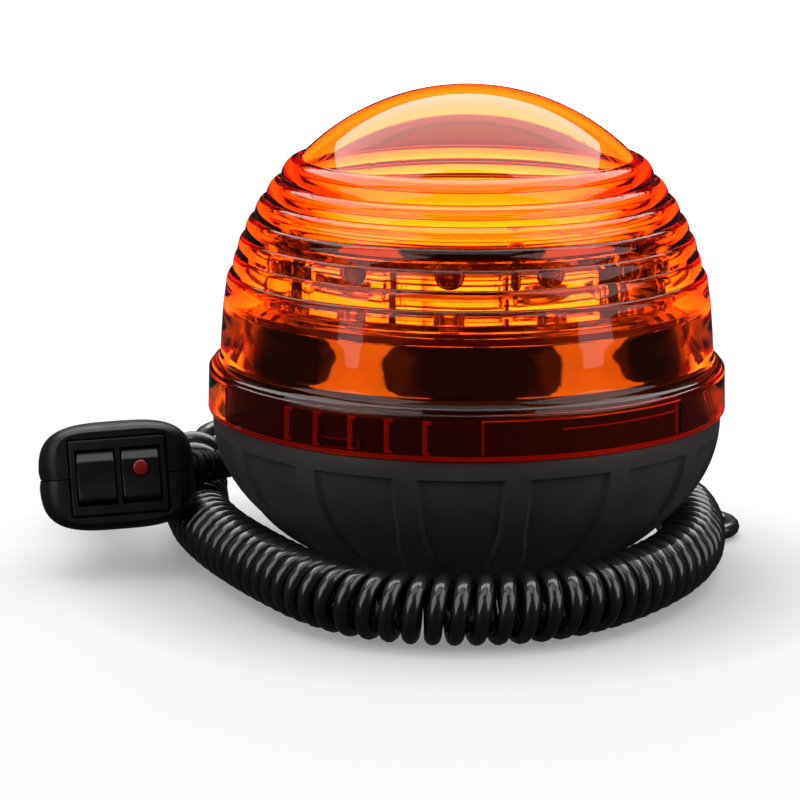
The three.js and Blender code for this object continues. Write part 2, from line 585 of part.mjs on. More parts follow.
function strainRelief() {
  const { neck, collar, tip, length } = RELIEF;
  const { count, first, pitch, groove, depth } = RELIEF_TEETH;
  const start = 4.2;
  const outerAt = (s) => collar + (tip - collar) * (s - start) / (length - start);
  const profile = [[0, 0], [neck, 0], [neck, start], [collar, start]];
  for (let i = 0; i < count; i += 1) {
    const s = first + pitch * i;
    const radius = outerAt(s);
    profile.push([radius, s], [radius - depth, s + 0.1]);
    profile.push([radius - depth, s + groove], [radius, s + groove + 0.1]);
  }
  profile.push([tip, length], [0, length]);
  return alongRelief(turnedAboutY(profile, 12));
}

// ---------- assembly ----------

const group = new THREE.Group();
const plug = new THREE.Group();
plug.position.set(PLUG_PLACE.x, PLUG_PLACE.y, PLUG_PLACE.z);
plug.rotation.set(radians(PLUG_PLACE.pitch), radians(PLUG_PLACE.roll), radians(PLUG_PLACE.yaw), 'ZXY');
group.add(plug);

function add(parent, name, geometry, material) {
  const mesh = new THREE.Mesh(closed(geometry), material);
  mesh.name = name;
  parent.add(mesh);
}

function addBeacon() {
  const boardTop = DRIVER.bottom + DRIVER.thickness + GAP;
  const ledTop = LED_BOARD.bottom + LED_BOARD.thickness + GAP;
  const deckTop = DECK.bottom + DECK.thickness + GAP;
  const capBottom = OPTIC.top + GAP;
  const capTop = capBottom + OPTIC_CAP.thickness + GAP;
  add(group, 'lens_dome', lensDome(), materials.lens);
  const sealMiddle = [SEAL.ring, COLLAR.top + GAP + SEAL.section];
  add(group, 'lens_seal', turned(arc(sealMiddle, [SEAL.section, SEAL.section], 0, 360, 5)), materials.rubber);
  add(group, 'base_bowl', baseBowl(), materials.black);
  add(group, 'rubber_foot', rubberFoot(), materials.rubber);
  add(group, 'magnet_cup', magnetCup(), materials.steel);
  add(group, 'ring_magnet', ring(CUP.pole + MAGNET_CLEARANCE, CUP.outer - CUP.wall - MAGNET_CLEARANCE,
    CUP.bottom + GAP, CUP.roof - GAP), materials.magnet);
  const driver = disc(DRIVER.radius, DRIVER.bottom, DRIVER.bottom + DRIVER.thickness, SEGMENTS);
  add(group, 'driver_board', driver, materials.board);
  const inductor = ring(2.5, 8, boardTop, boardTop + 10, 20);
  add(group, 'inductor', inductor.translate(18, -14, 0), materials.component);
  add(group, 'capacitor', rodZ(5, boardTop, boardTop + 14, 20, 16, 16), materials.component);
  add(group, 'terminal_block', box([-24, 4, boardTop], [-8, 14, boardTop + 9]), materials.component);
  const deck = perforatedDisc(DECK.radius, DECK.wireHole, DECK_SCREW.ring, 60, DECK.bottom, DECK.thickness);
  add(group, 'deck_plate', deck, materials.black);
  add(group, 'led_drum', ledDrum(), materials.aluminium);
  const { inner, outer, bottom, thickness } = LED_BOARD;
  add(group, 'led_board', ring(inner, outer, bottom, bottom + thickness), materials.board);
  add(group, 'optic_ring', opticRing(), materials.clear);
  const cap = perforatedDisc(OPTIC_CAP.radius, 0, OPTIC_SCREW.ring, 45, capBottom, OPTIC_CAP.thickness);
  add(group, 'optic_cap', cap, materials.aluminium);
  const wireRoute = [[-16, 9, boardTop + 9.8], [-13, 8, 48], [-5, 3, 54], [0, 0, 60]];
  wireRoute.push([6, 2, 67], [20, 6, 73], [24, 7, DRUM.top - DRUM.roof - 1.8]);
  add(group, 'supply_wire', tube(wireRoute, 1.3, 8, 24), materials.cord);
  for (let i = 0; i < LED.count; i += 1) {
    const half = LED.side / 2;
    const die = box([LED.ring - half, -half, ledTop], [LED.ring + half, half, ledTop + LED.height]);
    add(group, `led_${i + 1}`, die.rotateZ(radians(LED.turn + 360 * i / LED.count)), materials.led);
  }
  for (let i = 0; i < SCREW_COUNT; i += 1) {
    const azimuth = 360 * i / SCREW_COUNT;
    const footSeat = CUP.roof + CUP.roofThickness + GAP;
    const footPlace = onRing(FOOT_SCREW.ring, azimuth);
    const deckPlace = onRing(DECK_SCREW.ring, azimuth + 60);
    const opticPlace = onRing(OPTIC_SCREW.ring, azimuth + 45);
    const footScrew = screw(FOOT_SCREW, FOOT_SCREW.tip, footSeat, ...footPlace);
    add(group, `foot_screw_${i + 1}`, footScrew, materials.steel);
    add(group, `deck_screw_${i + 1}`, screw(SCREW, DECK_SCREW.tip, deckTop, ...deckPlace), materials.steel);
    add(group, `optic_screw_${i + 1}`, screw(SCREW, OPTIC_SCREW.tip, capTop, ...opticPlace), materials.steel);
  }
}

function addPlug() {
  const shell = headShell();
  const split = GAP / 2;
  add(plug, 'plug_upper_shell', overlap(shell, box([-40, -5, split], [40, 50, 30])), materials.black);
  add(plug, 'plug_lower_shell', overlap(shell, box([-40, -5, -30], [40, 50, -split])), materials.black);
  add(plug, 'switch_bezel', switchBezel(), materials.black);
  add(plug, 'rocker_power', rocker(false), materials.black);
  add(plug, 'rocker_mode', rocker(true), materials.black);
  add(plug, 'mode_indicator', indicatorWindow(), materials.red);
  const pinHalf = BEZEL.width / 2 - GAP;
  add(plug, 'rocker_pin', rodX(PIN_RADIUS, -pinHalf, pinHalf, ROCKER.pivotY, 0, 8), materials.steel);
  for (const [name, side] of [['switch_body_power', -1], ['switch_body_mode', 1]]) {
    const middle = side * ROCKER.centreX;
    const low = [middle - SWITCH_BODY.width / 2, SWITCH_BODY.front, -SWITCH_BODY.height / 2];
    const high = [middle + SWITCH_BODY.width / 2, SWITCH_BODY.back, SWITCH_BODY.height / 2];
    add(plug, name, box(low, high), materials.component);
  }
  add(plug, 'plug_barrel', barrel(), materials.black);
  add(plug, 'plug_nose_ring', noseRing(), materials.black);
  add(plug, 'tip_contact', tipContact(), materials.brass);
  add(plug, 'tip_spring', tipSpring(), materials.steel);
  const { start, end, radius } = FUSE;
  const fuse = turnedAboutY([[0, start], [radius, start], [radius, end], [0, end]], 12);
  add(plug, 'fuse', fuse, materials.glass);
  add(plug, 'side_contact_left', sideContact(-1), materials.steel);
  add(plug, 'side_contact_right', sideContact(1), materials.steel);
  for (const [name, side] of [['plug_screw_left', -1], ['plug_screw_right', 1]]) {
    const dims = { shaft: 0.95, head: 2.3, headHeight: 1.5 };
    const body = screw(dims, -6, -PLUG_POST.recessTop + GAP, 0, 0).rotateX(Math.PI);
    add(plug, name, body.translate(side * PLUG_POST.x, PLUG_POST.y, 0), materials.steel);
  }
  add(plug, 'plug_strain_relief', strainRelief(), materials.rubber);
}

function addCord() {
  add(group, 'cable_gland', cableGland(), materials.rubber);
  add(group, 'cord_lead', tube(LEAD_ROUTE, WIRE_RADIUS, 8, 12), materials.cord);
  add(group, 'cord_coil', tube(COIL_ROUTE, COIL_RADIUS, 12, 36), materials.cord);
  add(group, 'cord_tail', tube(TAIL_ROUTE, WIRE_RADIUS, 8, 40), materials.cord);
}

addBeacon();
addPlug();
addCord();

export default group;
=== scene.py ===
"""A magnetic amber LED beacon with its coiled lead and lighter plug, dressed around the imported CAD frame."""

import math

import bmesh
import bpy
from mathutils import Euler, Matrix, Vector


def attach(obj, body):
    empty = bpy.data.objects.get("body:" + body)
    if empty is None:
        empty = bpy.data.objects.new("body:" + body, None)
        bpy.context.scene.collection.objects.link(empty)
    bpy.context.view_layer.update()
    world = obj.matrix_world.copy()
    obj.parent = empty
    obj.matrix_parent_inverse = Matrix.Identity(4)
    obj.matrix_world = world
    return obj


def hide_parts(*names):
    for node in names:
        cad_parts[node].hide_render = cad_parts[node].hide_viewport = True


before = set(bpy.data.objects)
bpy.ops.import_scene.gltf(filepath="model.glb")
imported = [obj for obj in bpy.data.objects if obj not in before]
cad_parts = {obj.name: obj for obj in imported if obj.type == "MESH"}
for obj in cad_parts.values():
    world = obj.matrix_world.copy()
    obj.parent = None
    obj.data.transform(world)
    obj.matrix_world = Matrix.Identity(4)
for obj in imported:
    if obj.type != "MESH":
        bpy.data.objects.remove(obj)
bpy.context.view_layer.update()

MM = 0.001
TAU = 2 * math.pi
scene = bpy.context.scene

# ---------- sizes of the beacon, in millimetres and degrees; its outlines are (radius, height) ----------

CAP_RADIUS = 67.0
LENS_WALL = 2.8
NOTCHES = [
    (47.9, 122.3), (53.6, 116.0), (57.8, 110.7), (61.2, 105.3), (64.0, 100.0), (66.2, 94.8), (67.6, 89.6),
]
LENS_INSIDE = [(70.5, 63.2), (68.9, 65.8), (68.2, 72.0), (67.6, 79.5)]
SHOULDER = (1.9, 3.6)
SKIRT = [(70.4, 79.5), (71.0, 72.0)]
SKIRT_FOOT = (71.3, 67.0)
FOOT_FILLET = (3.7, 4.1)
BAND_TOP, BAND_BOTTOM = (74.7, 62.4), (75.0, 49.6)
BAND_INNER = 71.9
BAND_TOP_CORNER, BAND_FOOT_CORNER = 0.9, 0.6
SECTORS = 3
SECTOR, SECTOR_START = 360 / SECTORS, -66
PANE = (3.3, 53.7)
PANE_DEPTH = 0.9
RELIEF_LOW, RELIEF_HIGH = 50.8, 60.2
LUG_LOW, LUG_HIGH, LUG_INNER, LUG_HALF = 51.0, 53.5, 70.3, 6.0
EDGE = 0.03
RIBS = [-42.6, -34.5, -25.8, -17.3, -8.9]
RIB_FACE, RIB_LOW, RIB_HIGH = 71.15, 51.0, 60.0

BOWL_RADIUS, BOWL_DROP, BOWL_CENTRE, BOWL_FLOOR, BOWL_RIM = 73.7, 48.5, 47.0, 5.0, 49.2
BOWL_WALL = 2.7
FLOOR_TOP = 7.8
FOOT_HOLE = 32.6
COLLAR_OUTER, COLLAR_INNER, COLLAR_TOP = 69.5, 67.0, 61.2
LEDGE_INNER, LEDGE_TOP = 58.0, 57.6
PANELS, PANEL_OFFSET = 15, -1.0
PANEL_TOP, PANEL_LOW, PANEL_END = 44.0, 16.0, 9.0
PANEL_HALF, PANEL_TAPER, PANEL_DEPTH = 9.35, 1.9, 1.25

OPTIC_INNER, OPTIC_OUTER, OPTIC_BOTTOM, OPTIC_TOP = 44.0, 58.5, 83.0, 101.0
MODULES, MODULE_TURN, LED_RING = 12, -5.0, 51.0
MODULE_PITCH = 360 / MODULES
FACET_DEPTH, FACET_STEP = 1.6, 0.9
OPTIC_SCREWS, OPTIC_SCREW_TURN, OPTIC_SCREW_RING = 3, 45.0, 51.0
SCREW_TIP, SCREW_SEAT, SCREW_HEAD = 94.0, 105.6, 0.95

# ---------- sizes and routes of the cord ----------

GLAND_AZIMUTH, GLAND_Z = 125.0, 26.0
WIRE_RADIUS = 2.4
COIL_RADIUS = 10.0
LEAD_ROUTE = [
    (-50.7, 72.4, 26), (-54.2, 77.3, 26), (-60, 82.4, 25.8), (-67.4, 84.8, 25.2),
    (-74.8, 83.4, 24.5), (-80.4, 78.4, 23.9), (-83.4, 71.6, 23.3), (-84, 65, 22.6),
]
COIL_ROUTE = [
    (-84, 64, 22.4), (-83.8, 52, 18.6), (-83, 41, 14.2), (-81.6, 30, 11),
    (-79.4, 18, 10.1), (-75.6, 5, 10.1), (-69.8, -10, 10.1), (-61.4, -27.5, 10.1),
    (-52, -44.5, 10.1), (-42, -60, 10.1), (-30.6, -71.5, 10.1), (-16.5, -78, 10.1),
    (-1, -79.6, 10.1), (14.5, -77.6, 10.1), (28.2, -71.2, 10.1), (40.2, -60.4, 10.1),
    (50.8, -46, 10.1), (59, -30.6, 10.1), (64.4, -14, 10.1), (66.6, 3, 10.1),
    (66.8, 19, 10.1), (65.2, 34, 10.1),
]
TAIL_ROUTE = [
    (74.6, 28.4, 2.6), (79, 30.6, 2.6), (81.8, 35.2, 2.6), (82, 41.6, 2.6),
    (79.2, 48.6, 2.6), (73.4, 54.8, 2.6), (64.6, 61.6, 2.6), (53, 69, 2.6),
    (39, 75.2, 2.6), (23, 79.4, 2.6), (6, 81.2, 2.6), (-11, 80.4, 2.6),
    (-26, 76.6, 3), (-38.2, 69.6, 5.4), (-48, 60.6, 10), (-55.6, 50.6, 15.8),
    (-61.2, 42, 20.4), (-65, 36.6, 22.9), (-68.2, 32.8, 23.6),
]
COIL_PITCH = 5.8
COIL_OPENING = 7.0
STEPS_PER_TURN = 24
# points before the joint, points after it, and how often they are eased
LEAD_JOINT, TAIL_JOINT = (6, 24, 24), (14, 16, 40)

# ---------- sizes of the plug, in its own frame: +Y along the barrel, the rockers at the front ----------

PLUG_PLACE = Vector((-100.8, -10.0, 29.7))
PLUG_TURN = Euler((math.radians(-12), math.radians(-2.4), math.radians(10)), "YXZ")
PLUG_FRAME = Matrix.Translation(PLUG_PLACE) @ PLUG_TURN.to_matrix().to_4x4()
# place along the head, half width, half height and squareness there
HEAD_SECTIONS = [
    (0.0, 17.9, 13.3, 5.0), (1.2, 20.0, 14.5, 4.2), (4.0, 21.8, 15.4, 3.6), (9.0, 22.7, 15.9, 3.3),
    (16.0, 22.0, 15.6, 3.0), (23.0, 18.9, 14.7, 2.7), (29.0, 15.2, 13.4, 2.4), (34.0, 12.7, 12.3, 2.1),
    (38.0, 12.0, 12.0, 2.0),
]
HEAD_STEPS = 72
HEAD_OUTSIDE = [0, 0.25, 0.6, 1.2, 2, 3, 4.5, 6.5, 9, 12, 15, 18, 20.5, 23, 25, 27, 29, 31, 33, 35, 36.5, 38]
HEAD_INSIDE = [33.5, 30, 26, 22, 18, 13, 9, 5, 2.6]
HEAD_INSET = 2.2
THROAT_RADIUS = 9.35
BEZEL_HALF = (14.0, 11.0)
SEAM_HALF, SEAM_DEPTH = 0.15, 0.4
ROCKER_PIVOT, ROCKER_RADIUS, ROCKER_FACE, ROCKER_WIDTH, ROCKER_X = 4.9, 8.9, -1.4, 10.9, 6.5
ROCKER_TOP, ROCKER_BOW = 4.6, 0.35
LAMP_RADIUS, LAMP_Z = 2.3, 1.9
CONTACT_START, CONTACT_LENGTH, CONTACT_X, CONTACT_BOW = 50.6, 14.8, 9.5, 2.4
SHELL_SCREW_X, SHELL_SCREW_Y = 9.0, 25.5
RELIEF_START, RELIEF_ANGLE = (19.4, 20.0, 0.0), 40.0
RELIEF_LENGTH, RELIEF_COLLAR, RELIEF_TIP, RELIEF_RINGS = 26.0, 5.3, 3.6, 8


# ---------- lights, camera and floor ----------

CAMERA_PLACE = (0.0, -0.900, 0.246)
CAMERA_AIM = Vector((-0.01933, 0.0, 0.0504))
CAMERA_LENS = 142.2
HIGH_PANEL, LOW_PANEL, ROOM = 0.15, 12.0, 0.015
FLOOR_BEHIND, FLOOR_DARK = 1.6, 0.03


def make_camera():
    data = bpy.data.cameras.new("camera")
    data.sensor_width = 36.0
    data.lens = CAMERA_LENS
    data.clip_start, data.clip_end = 0.05, 20.0
    camera = bpy.data.objects.new("camera", data)
    scene.collection.objects.link(camera)
    camera.location = CAMERA_PLACE
    camera.rotation_euler = (CAMERA_AIM - camera.location).to_track_quat("-Z", "Y").to_euler()
    scene.camera = camera


def softbox(name, place, aim, width, height, power):
    """A white rectangular area light that faces aim."""
    data = bpy.data.lights.new(name, "AREA")
    data.shape = "RECTANGLE"
    data.size, data.size_y = width, height
    data.energy = power
    lamp = bpy.data.objects.new(name, data)
    scene.collection.objects.link(lamp)
    lamp.location = place
    lamp.rotation_euler = (Vector(aim) - Vector(place)).to_track_quat("-Z", "Z").to_euler()
    lamp.visible_camera = False


def combined(tree, operation, first, second):
    """A Math node on two values, each a socket or a number."""
    node = tree.nodes.new("ShaderNodeMath")
    node.operation = operation
    for socket, value in zip(node.inputs, (first, second)):
        if isinstance(value, (int, float)):
            socket.default_value = value
        else:
            tree.links.new(value, socket)
    return node.outputs[0]


def product(tree, first, *others):
    for other in others:
        first = combined(tree, "MULTIPLY", first, other)
    return first


def through_glass(tree):
    """1 for a ray that has already passed through a clear part, else 0; and 1 for a camera ray."""
    path = tree.nodes.new("ShaderNodeLightPath")
    inside = combined(tree, "GREATER_THAN", path.outputs["Transmission Depth"], 0.5)
    return inside, path.outputs["Is Camera Ray"]


def make_world():
    """A dark room. A high panel behind the object is mirrored by it; a low one shines through it."""
    world = bpy.data.worlds.new("studio")
    scene.world = world
    world.use_nodes = True
    tree = world.node_tree
    background = tree.nodes["Background"]
    split = tree.nodes.new("ShaderNodeSeparateXYZ")
    tree.links.new(tree.nodes.new("ShaderNodeTexCoord").outputs["Generated"], split.inputs[0])
    back, up = split.outputs["Y"], split.outputs["Z"]
    inside, from_camera = through_glass(tree)
    high = product(tree, mapped(tree, back, 0.0, HIGH_PANEL, 0.40, 0.60),
                   mapped(tree, up, 0.0, 1.0, 0.40, 0.56))
    low = product(tree, mapped(tree, back, 0.0, LOW_PANEL, 0.79, 0.95),
                  mapped(tree, up, 1.0, 0.5, 0.35, 0.70), inside)
    panels = combined(tree, "MAXIMUM", high, low)
    seen = combined(tree, "MAXIMUM", combined(tree, "ADD", panels, ROOM), from_camera)
    tree.links.new(seen, background.inputs["Color"])
    preset(background, {"Strength": 1.0})


def make_floor():
    """Pale to the camera, whiter far off and with painted shade close round the object; dark to all other
    rays, but bright behind, seen through glass.
    """
    bpy.ops.mesh.primitive_circle_add(vertices=96, radius=6.0, fill_type="NGON", location=(0, 0, -0.0002))
    floor = bpy.context.object
    floor.name = "floor"
    surface, tree, shader = new_material("floor_white")
    preset(shader, {"Base Color": (0.47, 0.47, 0.47, 1), "Roughness": 0.8})
    preset(shader, {"Specular IOR Level": 0.0, "Emission Color": (1, 1, 1, 1)})
    place = tree.nodes.new("ShaderNodeTexCoord").outputs["Object"]
    distance = tree.nodes.new("ShaderNodeVectorMath")
    distance.operation = "LENGTH"
    tree.links.new(place, distance.inputs[0])
    far = mapped(tree, distance.outputs["Value"], 0.0, 0.8, 0.30, 1.2)
    # painted contact shadow: the floor's glow for the camera is weaker within about 0.1 m of the object's
    # centre, so the floor reads darker under and round it
    near = mapped(tree, distance.outputs["Value"], 0.25, 0.45, 0.080, 0.120)
    tree.links.new(combined(tree, "ADD", near, far), shader.inputs["Emission Strength"])
    split = tree.nodes.new("ShaderNodeSeparateXYZ")
    tree.links.new(place, split.inputs[0])
    back, sideways = split.outputs["Y"], combined(tree, "ABSOLUTE", split.outputs["X"], 0.0)
    inside, from_camera = through_glass(tree)
    behind = product(tree, mapped(tree, back, 0.0, FLOOR_BEHIND, 0.08, 0.20), inside,
                     mapped(tree, back, 1.0, 0.2, 0.50, 0.72), mapped(tree, sideways, 1.0, 0.0, 0.10, 0.32))
    unseen = tree.nodes.new("ShaderNodeEmission")
    tree.links.new(combined(tree, "ADD", behind, FLOOR_DARK), unseen.inputs["Strength"])
    mix_shaders(tree, from_camera, unseen, shader)
    floor.data.materials.append(surface)


def make_studio():
    make_camera()
    make_world()
    make_floor()
    softbox("overhead", (0.0, 0.75, 0.98), (0, 0.75, 0.0), 1.8, 1.7, 25.0)
    softbox("left", (-0.77, -0.56, 0.63), (0, 0, 0.43), 1.05, 0.90, 4.0)
    softbox("right", (0.82, -0.44, 0.63), (0, 0, 0.43), 1.15, 0.90, 4.4)
    softbox("front_top", (-0.10, -0.45, 1.15), (0, 0, 0.05), 1.0, 0.5, 1.4)
    scene.view_settings.view_transform = "Standard"
    cycles = scene.cycles
    cycles.max_bounces = 20
    cycles.transmission_bounces = 18
    cycles.glossy_bounces = 6
    cycles.transparent_max_bounces = 24
    cycles.caustics_reflective = False
    cycles.caustics_refractive = False
    cycles.sample_clamp_indirect = 6.0
    cycles.use_denoising = True


# ---------- materials ----------

def new_material(name):
    surface = bpy.data.materials.new(name)
    surface.use_nodes = True
    tree = surface.node_tree
    return surface, tree, tree.nodes["Principled BSDF"]


def preset(node, values):
    """Constants for a node's inputs."""
    for name, value in values.items():
        node.inputs[name].default_value = value


def mix_shaders(tree, factor, first, second):
    """The surface is the first shader where the factor is 0 and the second where it is 1."""
    either = tree.nodes.new("ShaderNodeMixShader")
    tree.links.new(factor, either.inputs[0])
    tree.links.new(first.outputs[0], either.inputs[1])
    tree.links.new(second.outputs[0], either.inputs[2])
    tree.links.new(either.outputs[0], tree.nodes["Material Output"].inputs["Surface"])


def noise(tree, scale, detail=3.0, stretch=(1, 1, 1)):
    """Solid noise in the object's own metres; scale is in features per metre."""
    place = tree.nodes.new("ShaderNodeTexCoord").outputs["Object"]
    mapping = tree.nodes.new("ShaderNodeMapping")
    preset(mapping, {"Scale": stretch})
    texture = tree.nodes.new("ShaderNodeTexNoise")
    preset(texture, {"Scale": scale, "Detail": detail})
    tree.links.new(place, mapping.inputs["Vector"])
    tree.links.new(mapping.outputs["Vector"], texture.inputs["Vector"])
    return texture.outputs["Fac"]


def mapped(tree, value, low, high, start=0.3, end=0.7):
    """A ramp from low, where the value is at start, to high, where it is at end."""
    node = tree.nodes.new("ShaderNodeMapRange")
    preset(node, {"From Min": start, "From Max": end, "To Min": low, "To Max": high})
    tree.links.new(value, node.inputs["Value"])
    return node.outputs["Result"]


def blend_colour(tree, factor, first, second):
    node = tree.nodes.new("ShaderNodeMix")
    node.data_type = "RGBA"
    preset(node, {"A": (*first, 1), "B": (*second, 1)})
    tree.links.new(factor, node.inputs["Factor"])
    return node.outputs["Result"]


def add_bump(tree, shader, heights, distance):
    """Bump from one height, or the sum of several, in metres of depth."""
    total = heights[0]
    for height in heights[1:]:
        total = combined(tree, "ADD", total, height)
    bump = tree.nodes.new("ShaderNodeBump")
    preset(bump, {"Distance": distance, "Strength": 1.0})
    tree.links.new(total, bump.inputs["Height"])
    tree.links.new(bump.outputs["Normal"], shader.inputs["Normal"])


def plastic(name, dark, light, rough, grain, depth, specular=0.5):
    """Moulded plastic: two close tones, uneven gloss and a fine moulded grain."""
    surface, tree, shader = new_material(name)
    tone = mapped(tree, noise(tree, 55, 4), 0.0, 1.0)
    tree.links.new(blend_colour(tree, tone, dark, light), shader.inputs["Base Color"])
    tree.links.new(mapped(tree, noise(tree, 160, 3), *rough), shader.inputs["Roughness"])
    add_bump(tree, shader, [noise(tree, grain, 2), noise(tree, grain * 0.27, 2)], depth)
    preset(shader, {"Specular IOR Level": specular})
    return surface


def painted_glow(surface, colour, strength):
    """A painted glow on the frosted edges of a clear part: emission standing in for the light its wall would
    carry to them.
    """
    shader = surface.node_tree.nodes["Principled BSDF"]
    preset(shader, {"Emission Color": (*colour, 1), "Emission Strength": strength})


def coated(surface, weight, roughness):
    """A thin clear gloss over a plastic."""
    shader = surface.node_tree.nodes["Principled BSDF"]
    preset(shader, {"Coat Weight": weight, "Coat Roughness": roughness, "Coat IOR": 1.7})


def metal(name, colour, rough, brush=(1, 1, 1), scale=900, depth=1e-5):
    surface, tree, shader = new_material(name)
    preset(shader, {"Metallic": 1.0})
    tone = mapped(tree, noise(tree, 120, 3), 0.0, 1.0)
    darker = tuple(0.86 * c for c in colour)
    tree.links.new(blend_colour(tree, tone, darker, colour), shader.inputs["Base Color"])
    tree.links.new(mapped(tree, noise(tree, scale, 2, brush), *rough), shader.inputs["Roughness"])
    add_bump(tree, shader, [noise(tree, scale, 2, brush)], depth)
    return surface


def tinted_glass(name, colour, ior, rough, through=(1, 1, 1)):
    """Glass that lets lamps through: a shadow ray meets a Transparent shader instead."""
    surface, tree, shader = new_material(name)
    preset(shader, {"Base Color": (*colour, 1), "Transmission Weight": 1.0, "IOR": ior})
    tree.links.new(mapped(tree, noise(tree, 40, 2), *rough), shader.inputs["Roughness"])
    add_bump(tree, shader, [noise(tree, 28, 1)], 6e-5)
    clear = tree.nodes.new("ShaderNodeBsdfTransparent")
    preset(clear, {"Color": (*through, 1)})
    path = tree.nodes.new("ShaderNodeLightPath")
    mix_shaders(tree, path.outputs["Is Shadow Ray"], shader, clear)
    return surface


def absorbing(surface, colour, density):
    """Tints what passes through a clear part, more the further it goes."""
    tree = surface.node_tree
    volume = tree.nodes.new("ShaderNodeVolumeAbsorption")
    preset(volume, {"Color": (*colour, 1), "Density": density})
    tree.links.new(volume.outputs[0], tree.nodes["Material Output"].inputs["Volume"])


def board_material():
    surface, tree, shader = new_material("circuit_board")
    tone = mapped(tree, noise(tree, 260, 4), 0.0, 1.0, 0.45, 0.55)
    green = blend_colour(tree, tone, (0.01, 0.10, 0.04), (0.02, 0.17, 0.07))
    tree.links.new(green, shader.inputs["Base Color"])
    tree.links.new(mapped(tree, noise(tree, 500, 2), 0.3, 0.5), shader.inputs["Roughness"])
    add_bump(tree, shader, [noise(tree, 800, 2)], 3e-5)
    return surface


# name, dark and light tone, range of roughness, grain per metre, its depth in metres, specular level
PLASTICS = {
    "frosted": ("lens_frosted", (0.85, 0.06, 0.008), (1.0, 0.13, 0.02), (0.3, 0.5), 700, 4e-5),
    "base": ("base_plastic", (0.060, 0.057, 0.058), (0.084, 0.081, 0.082), (0.42, 0.58), 1500, 5e-5, 0.4),
    "plug": ("plug_plastic", (0.0095, 0.0095, 0.01), (0.016, 0.016, 0.0165), (0.36, 0.5), 1700, 4e-5, 0.45),
    "rocker": ("rocker_plastic", (0.008, 0.008, 0.008), (0.013, 0.013, 0.013), (0.34, 0.46), 2200, 2e-5),
    "cord": ("cord_jacket", (0.005, 0.005, 0.0055), (0.009, 0.009, 0.0095), (0.36, 0.50), 700, 2e-5, 0.45),
    "rubber": ("rubber", (0.009, 0.009, 0.009), (0.015, 0.015, 0.015), (0.55, 0.72), 1300, 4e-5, 0.35),
    "white_board": ("white_board", (0.42, 0.42, 0.40), (0.52, 0.52, 0.50), (0.25, 0.4), 900, 2e-5),
    "component": ("component", (0.012, 0.012, 0.013), (0.03, 0.03, 0.033), (0.35, 0.5), 1500, 3e-5),
    "led": ("led_yellow", (0.85, 0.62, 0.05), (0.95, 0.78, 0.12), (0.25, 0.35), 1800, 2e-5),
    "window": ("window_red", (0.34, 0.012, 0.018), (0.46, 0.03, 0.035), (0.12, 0.22), 900, 2e-5, 0.6),
}


def make_materials():
    made = {key: plastic(*values) for key, values in PLASTICS.items()}
    # painted glow: the frosted ribs and band edges give off a faint red emission of their own, though the
    # beacon is unlit
    painted_glow(made["frosted"], (1.0, 0.035, 0.004), 0.05)
    coated(made["rocker"], 0.6, 0.16)
    coated(made["cord"], 1.0, 0.08)
    made["lens"] = tinted_glass("lens_amber", (1.0, 0.86, 0.52), 1.49, (0.0, 0.02), (1.0, 0.42, 0.07))
    absorbing(made["lens"], (0.95, 0.58, 0.05), 870.0)
    made["optic"] = tinted_glass("optic_clear", (0.99, 0.97, 0.90), 1.50, (0.0, 0.04), (0.96, 0.94, 0.88))
    made["fuse"] = tinted_glass("fuse_glass", (0.92, 0.96, 0.95), 1.5, (0.0, 0.02))
    made["mirror"] = metal("polished_reflector", (0.86, 0.87, 0.88), (0.03, 0.09), (1, 1, 0.2), 300, 2e-5)
    made["steel"] = metal("steel", (0.62, 0.63, 0.65), (0.22, 0.36), (1, 1, 6))
    made["brass"] = metal("brass", (0.78, 0.58, 0.26), (0.18, 0.32))
    made["magnet"] = metal("magnet", (0.16, 0.16, 0.17), (0.4, 0.6))
    made["board"] = board_material()
    return made


# ---------- mesh helpers ----------

def new_mesh(name, part, weld=True):
    """A mesh in metres from (vertices, faces) in millimetres, its faces turned outwards."""
    vertices, faces = part
    mesh = bpy.data.meshes.new(name)
    mesh.from_pydata([tuple(MM * c for c in v) for v in vertices], [], faces)
    tool = bmesh.new()
    tool.from_mesh(mesh)
    if weld:
        bmesh.ops.remove_doubles(tool, verts=tool.verts, dist=1e-7)
    bmesh.ops.recalc_face_normals(tool, faces=tool.faces)
    tool.to_mesh(mesh)
    tool.free()
    return mesh


def shade_smooth(mesh, sharp):
    """Smooth shading, with every edge sharper than an angle in degrees kept crisp."""
    mesh.polygons.foreach_set("use_smooth", [True] * len(mesh.polygons))
    mesh.set_sharp_from_angle(angle=math.radians(sharp))


def new_piece(name, node, part, surface, sharp=30, body="base"):
    """A smooth-shaded piece that rides on a body and replaces a CAD node, if any."""
    mesh = new_mesh(name, part)
    shade_smooth(mesh, sharp)
    mesh.materials.append(surface)
    piece = bpy.data.objects.new(name, mesh)
    scene.collection.objects.link(piece)
    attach(piece, body)
    if node:
        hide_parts(node)
    return piece


def eased(value, low, high):
    """0 below low, 1 above high, and a smooth step between them."""
    t = min(1.0, max(0.0, (value - low) / (high - low)))
    return t * t * (3 - 2 * t)


def arc(centre, radii, start, end, steps):
    """Points of an elliptical arc, in degrees."""
    points = []
    for i in range(steps + 1):
        a = math.radians(start + (end - start) * i / steps)
        points.append((centre[0] + radii[0] * math.cos(a), centre[1] + radii[1] * math.sin(a)))
    return points


def resampled(points, step):
    """The same open outline, with long straight runs cut into pieces."""
    out = [points[0]]
    for a, b in zip(points, points[1:]):
        n = max(1, math.ceil(math.dist(a, b) / step))
        out += [tuple(p + (q - p) * i / n for p, q in zip(a, b)) for i in range(1, n + 1)]
    return out


def grid_faces(rows, columns, closed):
    """The faces between rings of points; closed also joins the last ring to the first."""
    faces = []
    for k in range(rows if closed else rows - 1):
        for i in range(columns):
            a, b = k * columns + i, k * columns + (i + 1) % columns
            c, d = (k + 1) % rows * columns + i, (k + 1) % rows * columns + (i + 1) % columns
            faces.append((a, b, d, c))
    return faces


